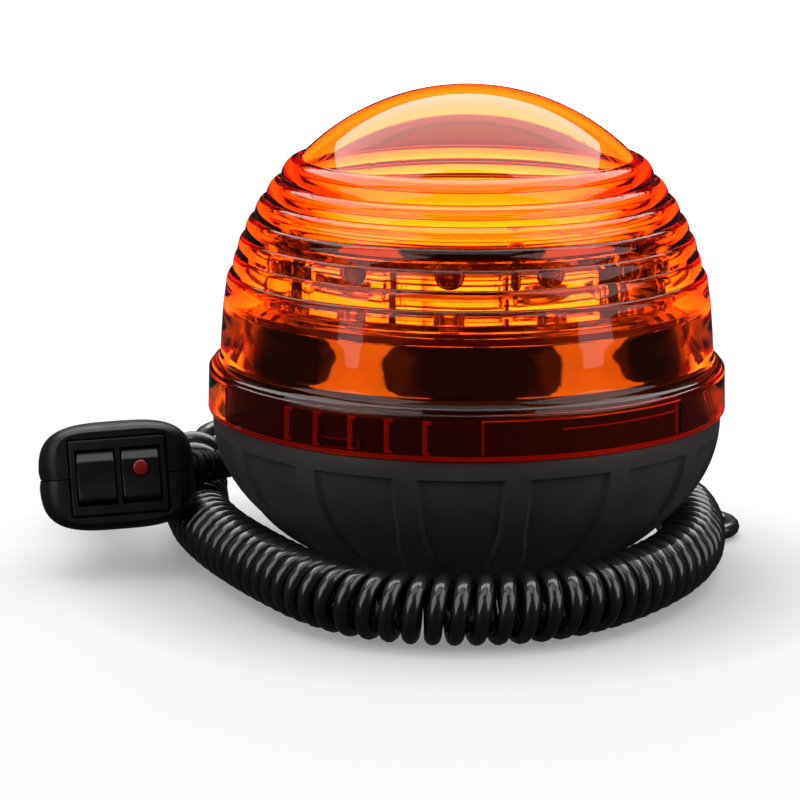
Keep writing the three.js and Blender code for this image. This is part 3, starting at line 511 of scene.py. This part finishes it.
def turned(profile, segments, closed=True, shaped=None, angles=None):
    """A body of revolution about Z. shaped(r, z, angle) may change a point's radius and height."""
    angles = angles or [TAU * i / segments for i in range(segments)]
    vertices = []
    for r, z in profile:
        for a in angles:
            pr, pz = shaped(r, z, a) if shaped else (r, z)
            vertices.append((pr * math.cos(a), pr * math.sin(a), pz))
    return vertices, grid_faces(len(profile), len(angles), closed)


def turned_along_y(profile, segments, closed=True):
    """A body of revolution about Y, from (radius, y) points."""
    vertices, faces = turned(profile, segments, closed)
    return [(x, z, -y) for x, y, z in vertices], faces


def lofted(sections):
    """A closed body through a row of sections that have equally many points."""
    vertices = [point for section in sections for point in section]
    size = len(sections[0])
    ends = [tuple(range(size)), tuple(range(len(vertices) - size, len(vertices)))]
    return vertices, grid_faces(len(sections), size, False) + ends


def taken_from(tool):
    """The (vertices, faces) of a bmesh, which is freed."""
    tool.verts.index_update()
    made = [tuple(v.co) for v in tool.verts], [tuple(v.index for v in f.verts) for f in tool.faces]
    tool.free()
    return made


def block(low, high, bevel, segments=3):
    """A box with rounded edges."""
    tool = bmesh.new()
    bmesh.ops.create_cube(tool, size=1.0)
    for v in tool.verts:
        v.co = Vector([low[k] + (high[k] - low[k]) * (v.co[k] + 0.5) for k in range(3)])
    bmesh.ops.bevel(tool, geom=tool.edges[:], offset=bevel, segments=segments, profile=0.6, affect="EDGES")
    return taken_from(tool)


def joined(*parts):
    """Several (vertices, faces) in one."""
    vertices, faces = [], []
    for part_vertices, part_faces in parts:
        start = len(vertices)
        vertices += part_vertices
        faces += [tuple(i + start for i in face) for face in part_faces]
    return vertices, faces


def moved(part, matrix):
    vertices, faces = part
    return [tuple(matrix @ Vector(v)) for v in vertices], faces


def hollow(piece, part):
    """Adds closed voids to a piece: their faces look inwards."""
    voids = new_mesh("voids", part)
    tool = bmesh.new()
    tool.from_mesh(voids)
    bmesh.ops.reverse_faces(tool, faces=tool.faces)
    for face in tool.faces:
        face.smooth = True
    tool.from_mesh(piece.data)
    tool.to_mesh(piece.data)
    tool.free()
    bpy.data.meshes.remove(voids)


def carve(piece, cutter):
    """Cuts a (vertices, faces) shape out of a piece."""
    knife = bpy.data.objects.new("cutter", new_mesh("cutter", cutter, weld=False))
    scene.collection.objects.link(knife)
    modifier = piece.modifiers.new("cut", "BOOLEAN")
    modifier.operation = "DIFFERENCE"
    modifier.solver = "EXACT"
    modifier.object = knife
    bpy.context.view_layer.update()
    result = bpy.data.meshes.new_from_object(piece.evaluated_get(bpy.context.evaluated_depsgraph_get()))
    piece.modifiers.remove(modifier)
    piece.data = result
    bpy.data.objects.remove(knife)
    shade_smooth(result, 32)


def carve_cross(screw, reach, low, high, angle):
    """Cuts a cross recess into the head of a screw that stands along Z."""
    for quarter in (0, 90):
        turn = Matrix.Rotation(math.radians(angle + quarter), 4, "Z")
        carve(screw, moved(block((-reach, -0.28, low), (reach, 0.28, high), 0.08, 1), turn))


# ---------- cord ----------

def catmull(points, step):
    """Points about step apart on a smooth curve through the given ones."""
    padded = [2 * points[0] - points[1], *points, 2 * points[-1] - points[-2]]
    line = []
    for p0, p1, p2, p3 in zip(padded, padded[1:], padded[2:], padded[3:]):
        n = max(2, math.ceil((p2 - p1).length / step))
        for i in range(n):
            t = i / n
            line.append(0.5 * (2 * p1 + (p2 - p0) * t + (2 * p0 - 5 * p1 + 4 * p2 - p3) * t * t
                               + (3 * p1 - p0 - 3 * p2 + p3) * t ** 3))
    return [*line, points[-1].copy()]


def helix(route):
    """A left-handed curl round a smooth route, opening from its axis and leaving along the floor."""
    line = catmull([Vector(p) for p in route], 0.5)
    along = [0.0]
    for a, b in zip(line, line[1:]):
        along.append(along[-1] + (b - a).length)
    total = along[-1]
    turns = round(total / COIL_PITCH) + 0.25
    reach = COIL_RADIUS - WIRE_RADIUS - 0.05
    count = int(turns * STEPS_PER_TURN)
    points = []
    k = 0
    for i in range(count + 1):
        s = total * i / count
        while k + 2 < len(line) and along[k + 1] < s:
            k += 1
        t = (s - along[k]) / (along[k + 1] - along[k])
        middle = line[k].lerp(line[k + 1], t)
        ahead = (line[min(k + 3, len(line) - 1)] - line[max(k - 3, 0)]).normalized()
        outward = ahead.cross(Vector((0, 0, 1))).normalized()
        upward = outward.cross(ahead)
        turn = TAU * (i / STEPS_PER_TURN) - TAU * turns - math.pi / 2
        radius = reach * eased(s, 0, COIL_OPENING)
        points.append(middle + radius * (math.cos(turn) * outward + math.sin(turn) * upward))
    return points


def relax(line, joint, before, after, rounds, fade=8):
    """Eases the line into an even bend round a joint, and leaves the rest where it is."""
    first, last = joint - before, joint + after
    for _ in range(rounds):
        old = [point.copy() for point in line]
        for i in range(first, last):
            pull = 0.5 * min(1.0, (i - first) / fade, (last - i) / fade)
            line[i] = old[i].lerp((old[i - 1] + old[i + 1]) / 2, pull)


def make_cord(skin):
    """The whole cord as one curve, and its length in metres."""
    lead = catmull([Vector(p) for p in LEAD_ROUTE], 2.0)
    curl = helix(COIL_ROUTE)
    tail = catmull([curl[-1], *[Vector(p) for p in TAIL_ROUTE]], 2.0)
    line = lead[:-1] + curl + tail[1:]
    relax(line, len(lead), *LEAD_JOINT)
    relax(line, len(lead) + len(curl), *TAIL_JOINT)
    data = bpy.data.curves.new("coiled_cord", "CURVE")
    data.dimensions = "3D"
    data.bevel_depth = WIRE_RADIUS * MM
    data.bevel_resolution = 4
    data.use_fill_caps = True
    spline = data.splines.new("POLY")
    spline.points.add(len(line) - 1)
    for point, place in zip(spline.points, line):
        point.co = (*(place * MM), 1)
    spline.use_smooth = True
    data.materials.append(skin)
    cord = bpy.data.objects.new("coiled_cord", data)
    scene.collection.objects.link(cord)
    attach(cord, "base")
    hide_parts("cord_lead", "cord_coil", "cord_tail")
    return cord, sum((b - a).length for a, b in zip(line, line[1:])) * MM


# ---------- beacon ----------

def lens_outline():
    """Outside from the top down, then the inside back up."""
    edge = math.degrees(math.acos(NOTCHES[0][0] / CAP_RADIUS))
    centre = NOTCHES[0][1] - CAP_RADIUS * math.sin(math.radians(edge))
    outer = arc((0, centre), (CAP_RADIUS, CAP_RADIUS), 90, edge, 44)
    for (r, z), (next_r, next_z) in zip(NOTCHES, NOTCHES[1:]):
        outer += arc((r, next_z), (next_r - r, z - next_z), 90, 0, 10)[1:]
    r, z = NOTCHES[-1]
    outer += arc((r, z - SHOULDER[1]), SHOULDER, 90, 0, 8)[1:] + resampled(SKIRT, 2.5)
    outer += arc((SKIRT_FOOT[0] + FOOT_FILLET[0], SKIRT_FOOT[1]), FOOT_FILLET, 180, 248, 8)
    corner, foot = BAND_TOP_CORNER, BAND_FOOT_CORNER
    outer += arc((BAND_TOP[0] - corner, BAND_TOP[1] - corner), (corner, corner), 80, 0, 5)
    outer += arc((BAND_BOTTOM[0] - foot, BAND_BOTTOM[1] + foot), (foot, foot), 0, -90, 4)
    heights = [BAND_BOTTOM[1], RELIEF_LOW, LUG_LOW, LUG_HIGH, RELIEF_HIGH]
    inner = [(BAND_INNER, heights[0])]
    for height in heights[1:]:
        inner += [(BAND_INNER, height - EDGE), (BAND_INNER, height + EDGE)]
    inside = list(LENS_INSIDE)
    for k in range(len(NOTCHES) - 1, 0, -1):
        above = NOTCHES[k - 1]
        below = NOTCHES[k + 1] if k + 1 < len(NOTCHES) else SKIRT[0]
        run = Vector((above[0] - below[0], above[1] - below[1])).normalized()
        inside.append((NOTCHES[k][0] - LENS_WALL * run.y, NOTCHES[k][1] + LENS_WALL * run.x))
    smooth = catmull([Vector((*point, 0)) for point in inside], 1.8)
    inner += [(point.x, point.y) for point in smooth]
    reach = CAP_RADIUS - LENS_WALL
    inner += arc((0, centre), (reach, reach), edge, 90, 40)
    return outer + inner


def sector_angle(a):
    """Degrees from the front, within one of the band's three equal sectors."""
    return (math.degrees(a) + 90 - SECTOR_START) % SECTOR + SECTOR_START


def band_relief(r, z, a):
    """The clear pane and the bayonet lugs on the inside of the lens band."""
    if abs(r - BAND_INNER) > 0.01 or not RELIEF_LOW < z < RELIEF_HIGH:
        return r, z
    lug = (math.degrees(a) + SECTOR / 2) % SECTOR - SECTOR / 2
    if abs(lug) < LUG_HALF and LUG_LOW < z < LUG_HIGH:
        return LUG_INNER, z
    if PANE[0] < sector_angle(a) < PANE[1]:
        return r + PANE_DEPTH, z
    return r, z


def curved_bar(radii, heights, angles, bevel=0.12):
    """A bar with soft edges that follows the inside of the band, from one angle to another."""
    (inner, outer), (low, high) = radii, heights
    section = [(inner, low + bevel), (inner + bevel, low), (outer - bevel, low), (outer, low + bevel),
               (outer, high - bevel), (outer - bevel, high), (inner + bevel, high), (inner, high - bevel)]
    steps = max(2, math.ceil((angles[1] - angles[0]) / 1.5))
    turns = [math.radians(angles[0] + (angles[1] - angles[0]) * i / steps) for i in range(steps + 1)]
    return lofted([[(r * math.cos(a), r * math.sin(a), z) for r, z in section] for a in turns])


def band_bars():
    """Low, high, first and last angle of each bar in a sector: ribs with hooks, and the pane."""
    bars = []
    for rib in RIBS:
        bars.append((RIB_LOW, RIB_HIGH, rib - 0.45, rib + 0.45))
        bars.append((RIB_HIGH - 0.7, RIB_HIGH, rib + 0.48, rib + 1.4))
        bars.append((RIB_LOW, RIB_LOW + 0.6, rib + 0.48, rib + 1.1))
    first, last = PANE
    bars += [(59.9, 60.5, first, last), (RIB_LOW, 59.8, first, first + 0.5)]
    bars += [(57.0, 57.35, first + 18, last - 0.6), (RIB_LOW, 59.8, last - 0.4, last)]
    return bars


def make_band_ribs(surface):
    """Frosted ribs, hooks, pane edges and foot bead moulded inside the band, the same in each sector."""
    walls = (RIB_FACE, BAND_INNER - 0.02)
    parts = []
    for sector in range(SECTORS):
        start = SECTOR * sector - 90
        for low, high, first, last in band_bars():
            parts.append(curved_bar(walls, (low, high), (start + first, start + last)))
    bead = [(71.2, 49.75), (71.85, 49.75), (71.85, 50.45), (71.5, 50.6), (71.2, 50.45)]
    parts.append(turned(bead, 240))
    new_piece("lens_ribs", None, joined(*parts), surface, 40, "lens")


def make_lens(surface):
    """The amber lens, with a row of points on each side of every pane edge and lug edge."""
    marks = []
    for sector in range(SECTORS):
        start = SECTOR * sector - 90
        marks += [start + mark + side * EDGE for mark in PANE for side in (-1, 1)]
        marks += [SECTOR * sector + side * LUG_HALF + fine for side in (-1, 1) for fine in (-EDGE, EDGE)]
    angles = sorted({round(a % 360, 4) for a in marks} | {1.5 * i for i in range(240)})
    shape = turned(lens_outline(), 0, False, band_relief, [math.radians(a) for a in angles])
    new_piece("amber_lens", "lens_dome", shape, surface, 28, "lens")


def panel_recess(r, z, a):
    """The shield-shaped recesses moulded round the outside of the bowl."""
    on_outside = abs(math.hypot(r / BOWL_RADIUS, (z - BOWL_CENTRE) / BOWL_DROP) - 1) < 1e-4
    if not on_outside or z > PANEL_TOP + 1:
        return r, z
    pitch = 360 / PANELS
    local = (math.degrees(a) + 90 - PANEL_OFFSET + pitch / 2) % pitch - pitch / 2
    half = PANEL_HALF - PANEL_TAPER * eased(PANEL_LOW + 14 - z, 0, 16)
    across = (half - abs(local)) * math.radians(1) * r
    below_top = PANEL_TOP - z
    above_end = z - PANEL_END - 6 * (local / PANEL_HALF) ** 2
    inside = eased(across, 0, 0.8) * eased(below_top, 0, 0.6) * eased(above_end, 0, 2.5)
    fade = 0.35 + 0.65 * eased(z, 12, 32)
    depth = PANEL_DEPTH * inside * fade
    nr, nz = r / BOWL_RADIUS ** 2, (z - BOWL_CENTRE) / BOWL_DROP ** 2
    size = math.hypot(nr, nz)
    return r - depth * nr / size, z - depth * nz / size


def make_bowl(surface):
    low = -math.degrees(math.asin((BOWL_CENTRE - BOWL_FLOOR) / BOWL_DROP))
    inner = (BOWL_RADIUS - BOWL_WALL, BOWL_DROP - BOWL_WALL)
    inner_low = -math.degrees(math.asin((BOWL_CENTRE - FLOOR_TOP) / inner[1]))
    profile = arc((COLLAR_OUTER - 0.5, COLLAR_TOP - 0.5), (0.5, 0.5), 90, 0, 3)
    profile += [(COLLAR_OUTER, BOWL_RIM), *arc((BOWL_RADIUS - 0.7, BOWL_RIM - 0.4), (0.55, 0.4), 90, 0, 3)]
    for start, end, steps in ((0, -3, 3), (-3.2, -5.0, 8), (-5.6, low, 72)):
        profile += arc((0, BOWL_CENTRE), (BOWL_RADIUS, BOWL_DROP), start, end, steps)
    profile += [(FOOT_HOLE, BOWL_FLOOR), (FOOT_HOLE, FLOOR_TOP)]
    profile += arc((0, BOWL_CENTRE), inner, inner_low, -8, 16)
    profile += [(LEDGE_INNER + 8.5, BOWL_CENTRE), (LEDGE_INNER, LEDGE_TOP - 5), (LEDGE_INNER, LEDGE_TOP)]
    profile += [(COLLAR_INNER, LEDGE_TOP), (COLLAR_INNER, COLLAR_TOP)]
    shape = turned(profile, 48 * PANELS, True, panel_recess)
    new_piece("bowl_shell", "base_bowl", shape, surface, 40)


def make_foot(rubber):
    profile = [(0, 0.25), (8, 0.25), (8.4, 0), (35.9, 0), *arc((36.0, 0.6), (0.6, 0.6), -90, 0, 4)[1:]]
    profile += [(36.6, 4.2), (36.2, 4.7), (32.7, 4.7), (32.7, 1.05), (0, 1.05)]
    new_piece("rubber_pad", "rubber_foot", turned(profile, 144, False), rubber)
    ring = arc((68.3, COLLAR_TOP + 1.5), (1.2, 1.2), 0, 345, 23)
    new_piece("lens_gasket", "lens_seal", turned(ring, 180), rubber, 60)


def make_reflectors(mirror):
    profile = [(65.8, 60.2), (65.8, 64.6), (65.3, 65.0)]
    profile += resampled([(65.8, 65.4), (63.2, 78.9)], 1.0) + [(63.0, 79), (12, 79), (12, 77), (62.2, 77)]
    profile += [(64.4, 66), (64.6, 65), (64.6, 60.2)]
    new_piece("reflector_drum", "led_drum", turned(profile, 240), mirror)
    profile = [(0, 101.3), (55.9, 101.3), (56.2, 101.6)] + resampled([(56.2, 101.65), (55.1, 105.15)], 0.7)
    profile += [(54.8, 105.5), (0, 105.5)]
    new_piece("reflector_cap", "optic_cap", turned(profile, 240, False), mirror)


def optic_face(r, z, a):
    """A shallow lens facet for each module round the outside of the optic ring, stepped at its ends."""
    if r < 50 or not 84.5 < z < 100.2:
        return r, z
    half = MODULE_PITCH / 2
    local = (math.degrees(a) - MODULE_TURN + half) % MODULE_PITCH - half
    return r - FACET_DEPTH * (local / half) ** 2 - FACET_STEP * eased(abs(local), half - 1.8, half - 0.4), z


def make_optic(surface):
    """The ring of lens modules, each with a cup in its top and a pocket over its LED."""
    inner, outer, bottom, top = OPTIC_INNER, OPTIC_OUTER, OPTIC_BOTTOM, OPTIC_TOP
    profile = [(inner + 1, bottom), (56.4, bottom), (60.4, 81.3), (60.4, 79.3), (65.9, 79.3), (66.2, 79.6)]
    profile += [(66.2, 81.3), (65.9, 81.6), (60.5, 83.4), (59.3, 84.4)]
    profile += resampled([(outer, 84.6), (outer, 92.4), (57.7, 93.4), (57.7, 100.1)], 1.2)
    profile += [(56.9, top), (inner + 3, top), (inner, 98), (inner, 86)]
    shape = turned(profile, 288, True, optic_face)
    ring = new_piece("optic_body", "optic_ring", shape, surface, 24)
    cup = turned([(0, 100.4), (5.2, 100.4), *arc((0, 100.2), (5.2, 6.0), 0, -80, 10), (0, 94.2)], 40, False)
    pocket = turned([(0, 83.5), (3.9, 83.5), *arc((0, 83.9), (4.1, 4.4), 0, 90, 8)], 32, False)
    voids = []
    for k in range(MODULES):
        turn = Matrix.Rotation(math.radians(MODULE_PITCH * k + MODULE_TURN), 4, "Z")
        voids.append(moved(cup, turn @ Matrix.Translation((LED_RING + 0.3, 0, 0))))
        voids.append(moved(pocket, turn @ Matrix.Translation((LED_RING + 1.5, 0, 0))))
    hollow(ring, joined(*voids))


def make_optic_screws(steel):
    """Pan-head screws with a cross recess, down through the cap into the optic ring."""
    tip, seat, top = SCREW_TIP, SCREW_SEAT, SCREW_SEAT + SCREW_HEAD
    profile = [(0, tip), (0.5, tip), (1.1, tip + 0.8), (1.1, seat), (2.4, seat), (2.4, seat + 0.3)]
    profile += [(2.2, seat + 0.6), (1.7, seat + 0.85), (0.9, top), (0, top)]
    shape = turned(profile, 32, False)
    for k in range(OPTIC_SCREWS):
        screw = new_piece(f"optic_fixing_{k + 1}", f"optic_screw_{k + 1}", shape, steel)
        carve_cross(screw, 1.5, top - 0.6, top + 1.0, 20)
        a = math.radians(OPTIC_SCREW_TURN + 360 * k / OPTIC_SCREWS)
        reach = OPTIC_SCREW_RING * MM
        screw.data.transform(Matrix.Translation((reach * math.cos(a), reach * math.sin(a), 0)))


def make_gland(rubber):
    """The cord's gland: a plug through the bowl's wall and a tapered sleeve with five rings."""
    profile = [(0, 54), (6.2, 54), (6.2, 56.5), (4.7, 56.5), (4.7, 70.6), (6.2, 70.6), (6.4, 70.9)]
    profile += [(6.4, 72.9), (6.1, 73.2), (4.9, 73.5)]
    for k in range(5):
        s = 75.0 + 2.5 * k
        r = 4.75 - 0.12 * (s - 73.5)
        neck = r - 0.75
        profile += [(r, s), (r - 0.1, s + 0.1), (neck, s + 0.25), (neck, s + 0.95), (r - 0.2, s + 1.1)]
    profile += [(3.4, 87.6), (3.1, 88), (0, 88)]
    shape = turned_along_y(profile, 48, False)
    place = Matrix.Translation((0, 0, GLAND_Z)) @ Matrix.Rotation(math.radians(GLAND_AZIMUTH - 90), 4, "Z")
    new_piece("cord_grommet", "cable_gland", moved(shape, place), rubber, 35)


# ---------- plug ----------

def in_plug(part):
    return moved(part, PLUG_FRAME)


def head_section(y):
    """Half width, half height and squareness of the head at a place along it."""
    rows = HEAD_SECTIONS
    k = max(0, min(len(rows) - 2, sum(1 for row in rows if row[0] <= y) - 1))
    span = rows[k + 1][0] - rows[k][0]
    t = (y - rows[k][0]) / span
    points = [rows[max(0, min(len(rows) - 1, j))] for j in (k - 1, k, k + 1, k + 2)]
    values = []
    for c in (1, 2, 3):
        slopes = []
        for a, b in ((0, 2), (1, 3)):
            run = points[b][0] - points[a][0]
            slopes.append((points[b][c] - points[a][c]) / run if run else 0)
        p, q = points[1][c], points[2][c]
        values.append((2 * t ** 3 - 3 * t ** 2 + 1) * p + (t ** 3 - 2 * t ** 2 + t) * span * slopes[0]
                      + (3 * t ** 2 - 2 * t ** 3) * q + (t ** 3 - t ** 2) * span * slopes[1])
    return values


def head_point(y, a, inset, side):
    half_width, half_height, power = head_section(y)
    c, s = math.cos(a), math.sin(a)
    x = (half_width - inset) * math.copysign(abs(c) ** (2 / power), c)
    z = max(SEAM_HALF, (half_height - inset) * abs(s) ** (2 / power))
    groove = SEAM_DEPTH * (1 - eased(z, SEAM_HALF, SEAM_HALF + 0.35)) if inset == 0 else 0
    return x - math.copysign(groove, x), y, z * side


def head_half(side):
    """The upper or lower shell: the edge round the switch window, outside, throat and inside."""
    sections = []
    for i in range(HEAD_STEPS + 1):
        a = math.pi * i / HEAD_STEPS
        outside = [head_point(y, a, 0, side) for y in HEAD_OUTSIDE]
        inside = [head_point(y, a, HEAD_INSET, side) for y in HEAD_INSIDE]
        x, _, z = outside[0]
        grow = min((BEZEL_HALF[0] + 0.3) / max(abs(x), 0.01), (BEZEL_HALF[1] + 0.3) / max(abs(z), 0.01))
        x, z = x * grow, z * grow
        window = [(x, 2.6, z), (x, 0.3, z), (x * 1.02, 0.05, z * 1.02)]
        x, z = THROAT_RADIUS * math.cos(a), max(SEAM_HALF, THROAT_RADIUS * math.sin(a)) * side
        throat = [(x, 38, z), (x, 33.5, z)]
        sections.append(window + outside + throat + inside)
    return lofted(sections)


def make_head(surface):
    for name, side in (("upper", 1), ("lower", -1)):
        shape = in_plug(head_half(side))
        new_piece(f"plug_shell_{name}", f"plug_{name}_shell", shape, surface)


def cut_in_plug(piece, low, high, bevel):
    carve(piece, in_plug(block(low, high, bevel)))


def make_bezel(surface):
    """The frame round the rockers, with a window for each and slots for their ends."""
    w, h = BEZEL_HALF
    shape = in_plug(block((-w, -0.6, -h), (w, 8.4, h), 0.6, 4))
    bezel = new_piece("switch_frame", "switch_bezel", shape, surface)
    for side in (-1, 1):
        low, high = sorted((side * 0.7, side * 12.3))
        cut_in_plug(bezel, (low, -2, -8.2), (high, 10, 8.2), 0.25)
        cut_in_plug(bezel, (low, 1.0, -9.4), (high, 10, 9.4), 0.1)


def rocker_shape():
    """A rocker's side outline, drawn out along X with softly rounded edges."""
    def end_at(y):
        return math.sqrt(ROCKER_RADIUS ** 2 - (y - ROCKER_PIVOT) ** 2)
    outline = [(0.5, end_at(0.5)), (2.5, end_at(2.5)), (4.9, end_at(4.9)), (6.4, end_at(6.4))]
    outline += [(y, -z) for y, z in reversed(outline)]
    outline += [(ROCKER_FACE, -end_at(ROCKER_FACE))]
    steps = 10
    bottom = -end_at(ROCKER_FACE)
    for i in range(1, steps):
        t = i / steps
        bow = ROCKER_BOW * math.sin(math.pi * t)
        outline.append((ROCKER_FACE + bow, bottom + (ROCKER_TOP - bottom) * t))
    outline.append((ROCKER_FACE, ROCKER_TOP))
    tool = bmesh.new()
    half = ROCKER_WIDTH / 2
    near = [tool.verts.new((-half, y, z)) for y, z in outline]
    far = [tool.verts.new((half, y, z)) for y, z in outline]
    count = len(outline)
    tool.faces.new(near)
    tool.faces.new(list(reversed(far)))
    for i in range(count):
        tool.faces.new((near[i], near[(i + 1) % count], far[(i + 1) % count], far[i]))
    bmesh.ops.recalc_face_normals(tool, faces=tool.faces)
    hard = [e for e in tool.edges if e.calc_face_angle(0) > math.radians(20)]
    bmesh.ops.bevel(tool, geom=hard, offset=0.4, segments=4, profile=0.5, affect="EDGES", clamp_overlap=True)
    return taken_from(tool)


def make_rockers(surface, red):
    """Two rockers; the right one has a socket with a red lamp in it."""
    for name, side in (("power", -1), ("mode", 1)):
        place = PLUG_FRAME @ Matrix.Translation((side * ROCKER_X, 0, 0))
        shape = moved(rocker_shape(), place)
        rocker = new_piece(f"rocker_{name}_cap", f"rocker_{name}", shape, surface, 30,
                           f"{name}_rocker")
        if name == "mode":
            wide, deep = LAMP_RADIUS + 0.3, ROCKER_FACE - 2
            socket = turned_along_y([(0, deep), (wide, deep), (wide, 0.1), (0, 0.1)], 40, False)
            carve(rocker, moved(socket, place @ Matrix.Translation((0, 0, LAMP_Z))))
    profile = [(0, -0.2), (LAMP_RADIUS, -0.2), (LAMP_RADIUS, -1.2)]
    profile += [*arc((1.5, -1.2), (0.8, 0.55), 0, -90, 6), (0.9, -1.9), (0, -1.9)]
    place = PLUG_FRAME @ Matrix.Translation((ROCKER_X, 0, LAMP_Z))
    shape = moved(turned_along_y(profile, 40, False), place)
    new_piece("indicator_lamp", "mode_indicator", shape, red, 35, "mode_rocker")


def make_barrel(surface):
    """The round body with three grooves and slots for the side contacts."""
    profile = [(7.2, 31), (9.0, 31), (9.0, 38.4), (10.0, 38.4), *arc((10.0, 39.0), (0.5, 0.6), -90, 0, 3)]
    for y in (42.0, 44.2, 46.4):
        profile += [(10.5, y), (10.0, y + 0.35), (10.0, y + 0.95), (10.5, y + 1.3)]
    profile += [(10.5, 75.6), (10.1, 76.0), (7.2, 76.0)]
    shape = in_plug(turned_along_y(profile, 72))
    barrel = new_piece("plug_barrel_body", "plug_barrel", shape, surface)
    cut_in_plug(barrel, (-20, 50, -2.5), (20, 66, 2.5), 0.4)


def make_nose(surface, brass):
    """The finely ribbed ring that screws onto the barrel, and the tip it holds."""
    profile = [(6.8, 76.3), *arc((9.5, 76.6), (0.3, 0.3), -90, 0, 2)]
    profile += arc((9.5, 77.2), (0.3, 0.2), 0, 20, 1)
    for k in range(24):
        profile.append((9.8 - (0.28 if k % 2 else 0.0), 77.4 + 0.1 * k))
    profile += [(9.8, 80.0), *arc((7.7, 86.0), (0.5, 0.5), 20, 90, 4), (3.7, 86.5), (3.7, 84.3), (6.8, 84.3)]
    shape = in_plug(turned_along_y(profile, 72))
    new_piece("plug_nose", "plug_nose_ring", shape, surface)
    profile = [(0, 78.6), (1.8, 78.6), (1.8, 82.3), (6.2, 82.3), (6.2, 84.0), (3.2, 84.0)]
    profile += arc((0, 91.8), (3.2, 3.2), 0, 90, 12)
    shape = in_plug(turned_along_y(profile, 48, False))
    new_piece("brass_tip", "tip_contact", shape, brass, 30, "tip")


def make_side_contacts(steel):
    """A bowed spring strip on each side of the barrel."""
    steps, half, thick = 28, 2.1, 1.1
    for name, side in (("left", -1), ("right", 1)):
        sections = []
        for i in range(steps + 1):
            t = i / steps
            y = CONTACT_START + CONTACT_LENGTH * t
            x = CONTACT_X + 4 * CONTACT_BOW * t * (1 - t)
            wide = half * (1.0 if 0 < i < steps - 1 else 0.78)
            back = x - thick
            ring = [(x, 0.3 - wide), (x, wide - 0.3), (x - 0.25, wide), (back + 0.2, wide)]
            ring += [(back, wide - 0.25), (back, 0.25 - wide), (back + 0.2, -wide), (x - 0.25, -wide)]
            sections.append([(side * px, y, pz) for px, pz in ring])
        shape = in_plug(lofted(sections))
        new_piece(f"spring_contact_{name}", f"side_contact_{name}", shape, steel, 40,
                  f"{name}_contact")


def part_ring(outer, inner, start, thickness, first, sweep):
    """A slice of a ring about Y with soft outer corners."""
    end = start + thickness
    section = [(inner, start), (outer - 0.25, start), (outer, start + 0.25)]
    section += [(outer, end - 0.25), (outer - 0.25, end), (inner, end)]
    steps = 16
    angles = [math.radians(first + sweep * i / steps) for i in range(steps + 1)]
    return lofted([[(r * math.cos(a), y, r * math.sin(a)) for r, y in section] for a in angles])


def make_relief(rubber):
    """The segmented strain relief: a thin core with part rings, turned a quarter from one to the next."""
    length, collar, tip = RELIEF_LENGTH, RELIEF_COLLAR, RELIEF_TIP
    core = [(0, 0), (4.1, 0), (4.1, 4.2), (collar - 0.4, 4.2), (collar, 4.6), (collar, 6.2)]
    core += [(collar - 0.4, 6.6), (3.9, 6.7), (3.1, length - 2.3), (3.1, length - 2)]
    core += [(tip, length - 1.8), (tip, length - 0.3), (tip - 0.3, length), (0, length)]
    parts = [turned_along_y(core, 48, False)]
    for k in range(RELIEF_RINGS):
        start = 7.5 + 2.02 * k
        radius = collar - (collar - tip) * (start - 6) / (length - 6)
        for half_turn in (0, 180):
            parts.append(part_ring(radius, 3.0, start, 1.15, 25 + 90 * (k % 2) + half_turn, 130))
    toward = Matrix.Rotation(math.radians(RELIEF_ANGLE - 90), 4, "Z")
    shape = in_plug(moved(joined(*parts), Matrix.Translation(RELIEF_START) @ toward))
    new_piece("relief_sleeve", "plug_strain_relief", shape, rubber)


def make_plug_screws(steel):
    """The two screws that hold the shells together, their heads underneath."""
    profile = [(0, 6), (0.5, 6), (0.95, 5.2), (0.95, -11.3), (2.3, -11.3), (2.3, -12.0), (1.9, -12.6)]
    profile.append((0, -12.8))
    shape = turned(profile, 32, False)
    for name, side in (("left", -1), ("right", 1)):
        screw = new_piece(f"shell_screw_{name}", f"plug_screw_{name}", shape, steel)
        carve_cross(screw, 1.4, -13.5, -12.1, 30)
        place = PLUG_FRAME @ Matrix.Translation((side * SHELL_SCREW_X, SHELL_SCREW_Y, 0))
        screw.data.transform(Matrix.Translation(place.translation * MM) @ place.to_3x3().to_4x4())


# ---------- carried-over CAD nodes ----------

NODE_FINISHES = {
    "steel": ["magnet_cup", "rocker_pin", "tip_spring"],
    "magnet": ["ring_magnet"],
    "board": ["driver_board"],
    "white_board": ["led_board"],
    "component": ["inductor", "capacitor", "terminal_block", "switch_body_power", "switch_body_mode"],
    "base": ["deck_plate"],
    "cord": ["supply_wire"],
    "fuse": ["fuse"],
    "led": [f"led_{k}" for k in range(1, MODULES + 1)],
}
NODE_FINISHES["steel"] += [f"{place}_screw_{k}" for place in ("foot", "deck") for k in (1, 2, 3)]


def finish_nodes():
    """Gives every carried-over CAD node its material."""
    for finish, nodes in NODE_FINISHES.items():
        for node in nodes:
            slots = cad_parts[node].data.materials
            slots.clear()
            slots.append(materials[finish])


materials = make_materials()
make_studio()
cord, cord_length = make_cord(materials["cord"])
make_lens(materials["lens"])
make_band_ribs(materials["frosted"])
make_bowl(materials["base"])
make_foot(materials["rubber"])
make_reflectors(materials["mirror"])
make_optic(materials["optic"])
make_optic_screws(materials["steel"])
make_gland(materials["rubber"])
make_head(materials["plug"])
make_bezel(materials["plug"])
make_rockers(materials["rocker"], materials["window"])
make_barrel(materials["plug"])
make_nose(materials["plug"], materials["brass"])
make_side_contacts(materials["steel"])
make_relief(materials["rubber"])
make_plug_screws(materials["steel"])
finish_nodes()
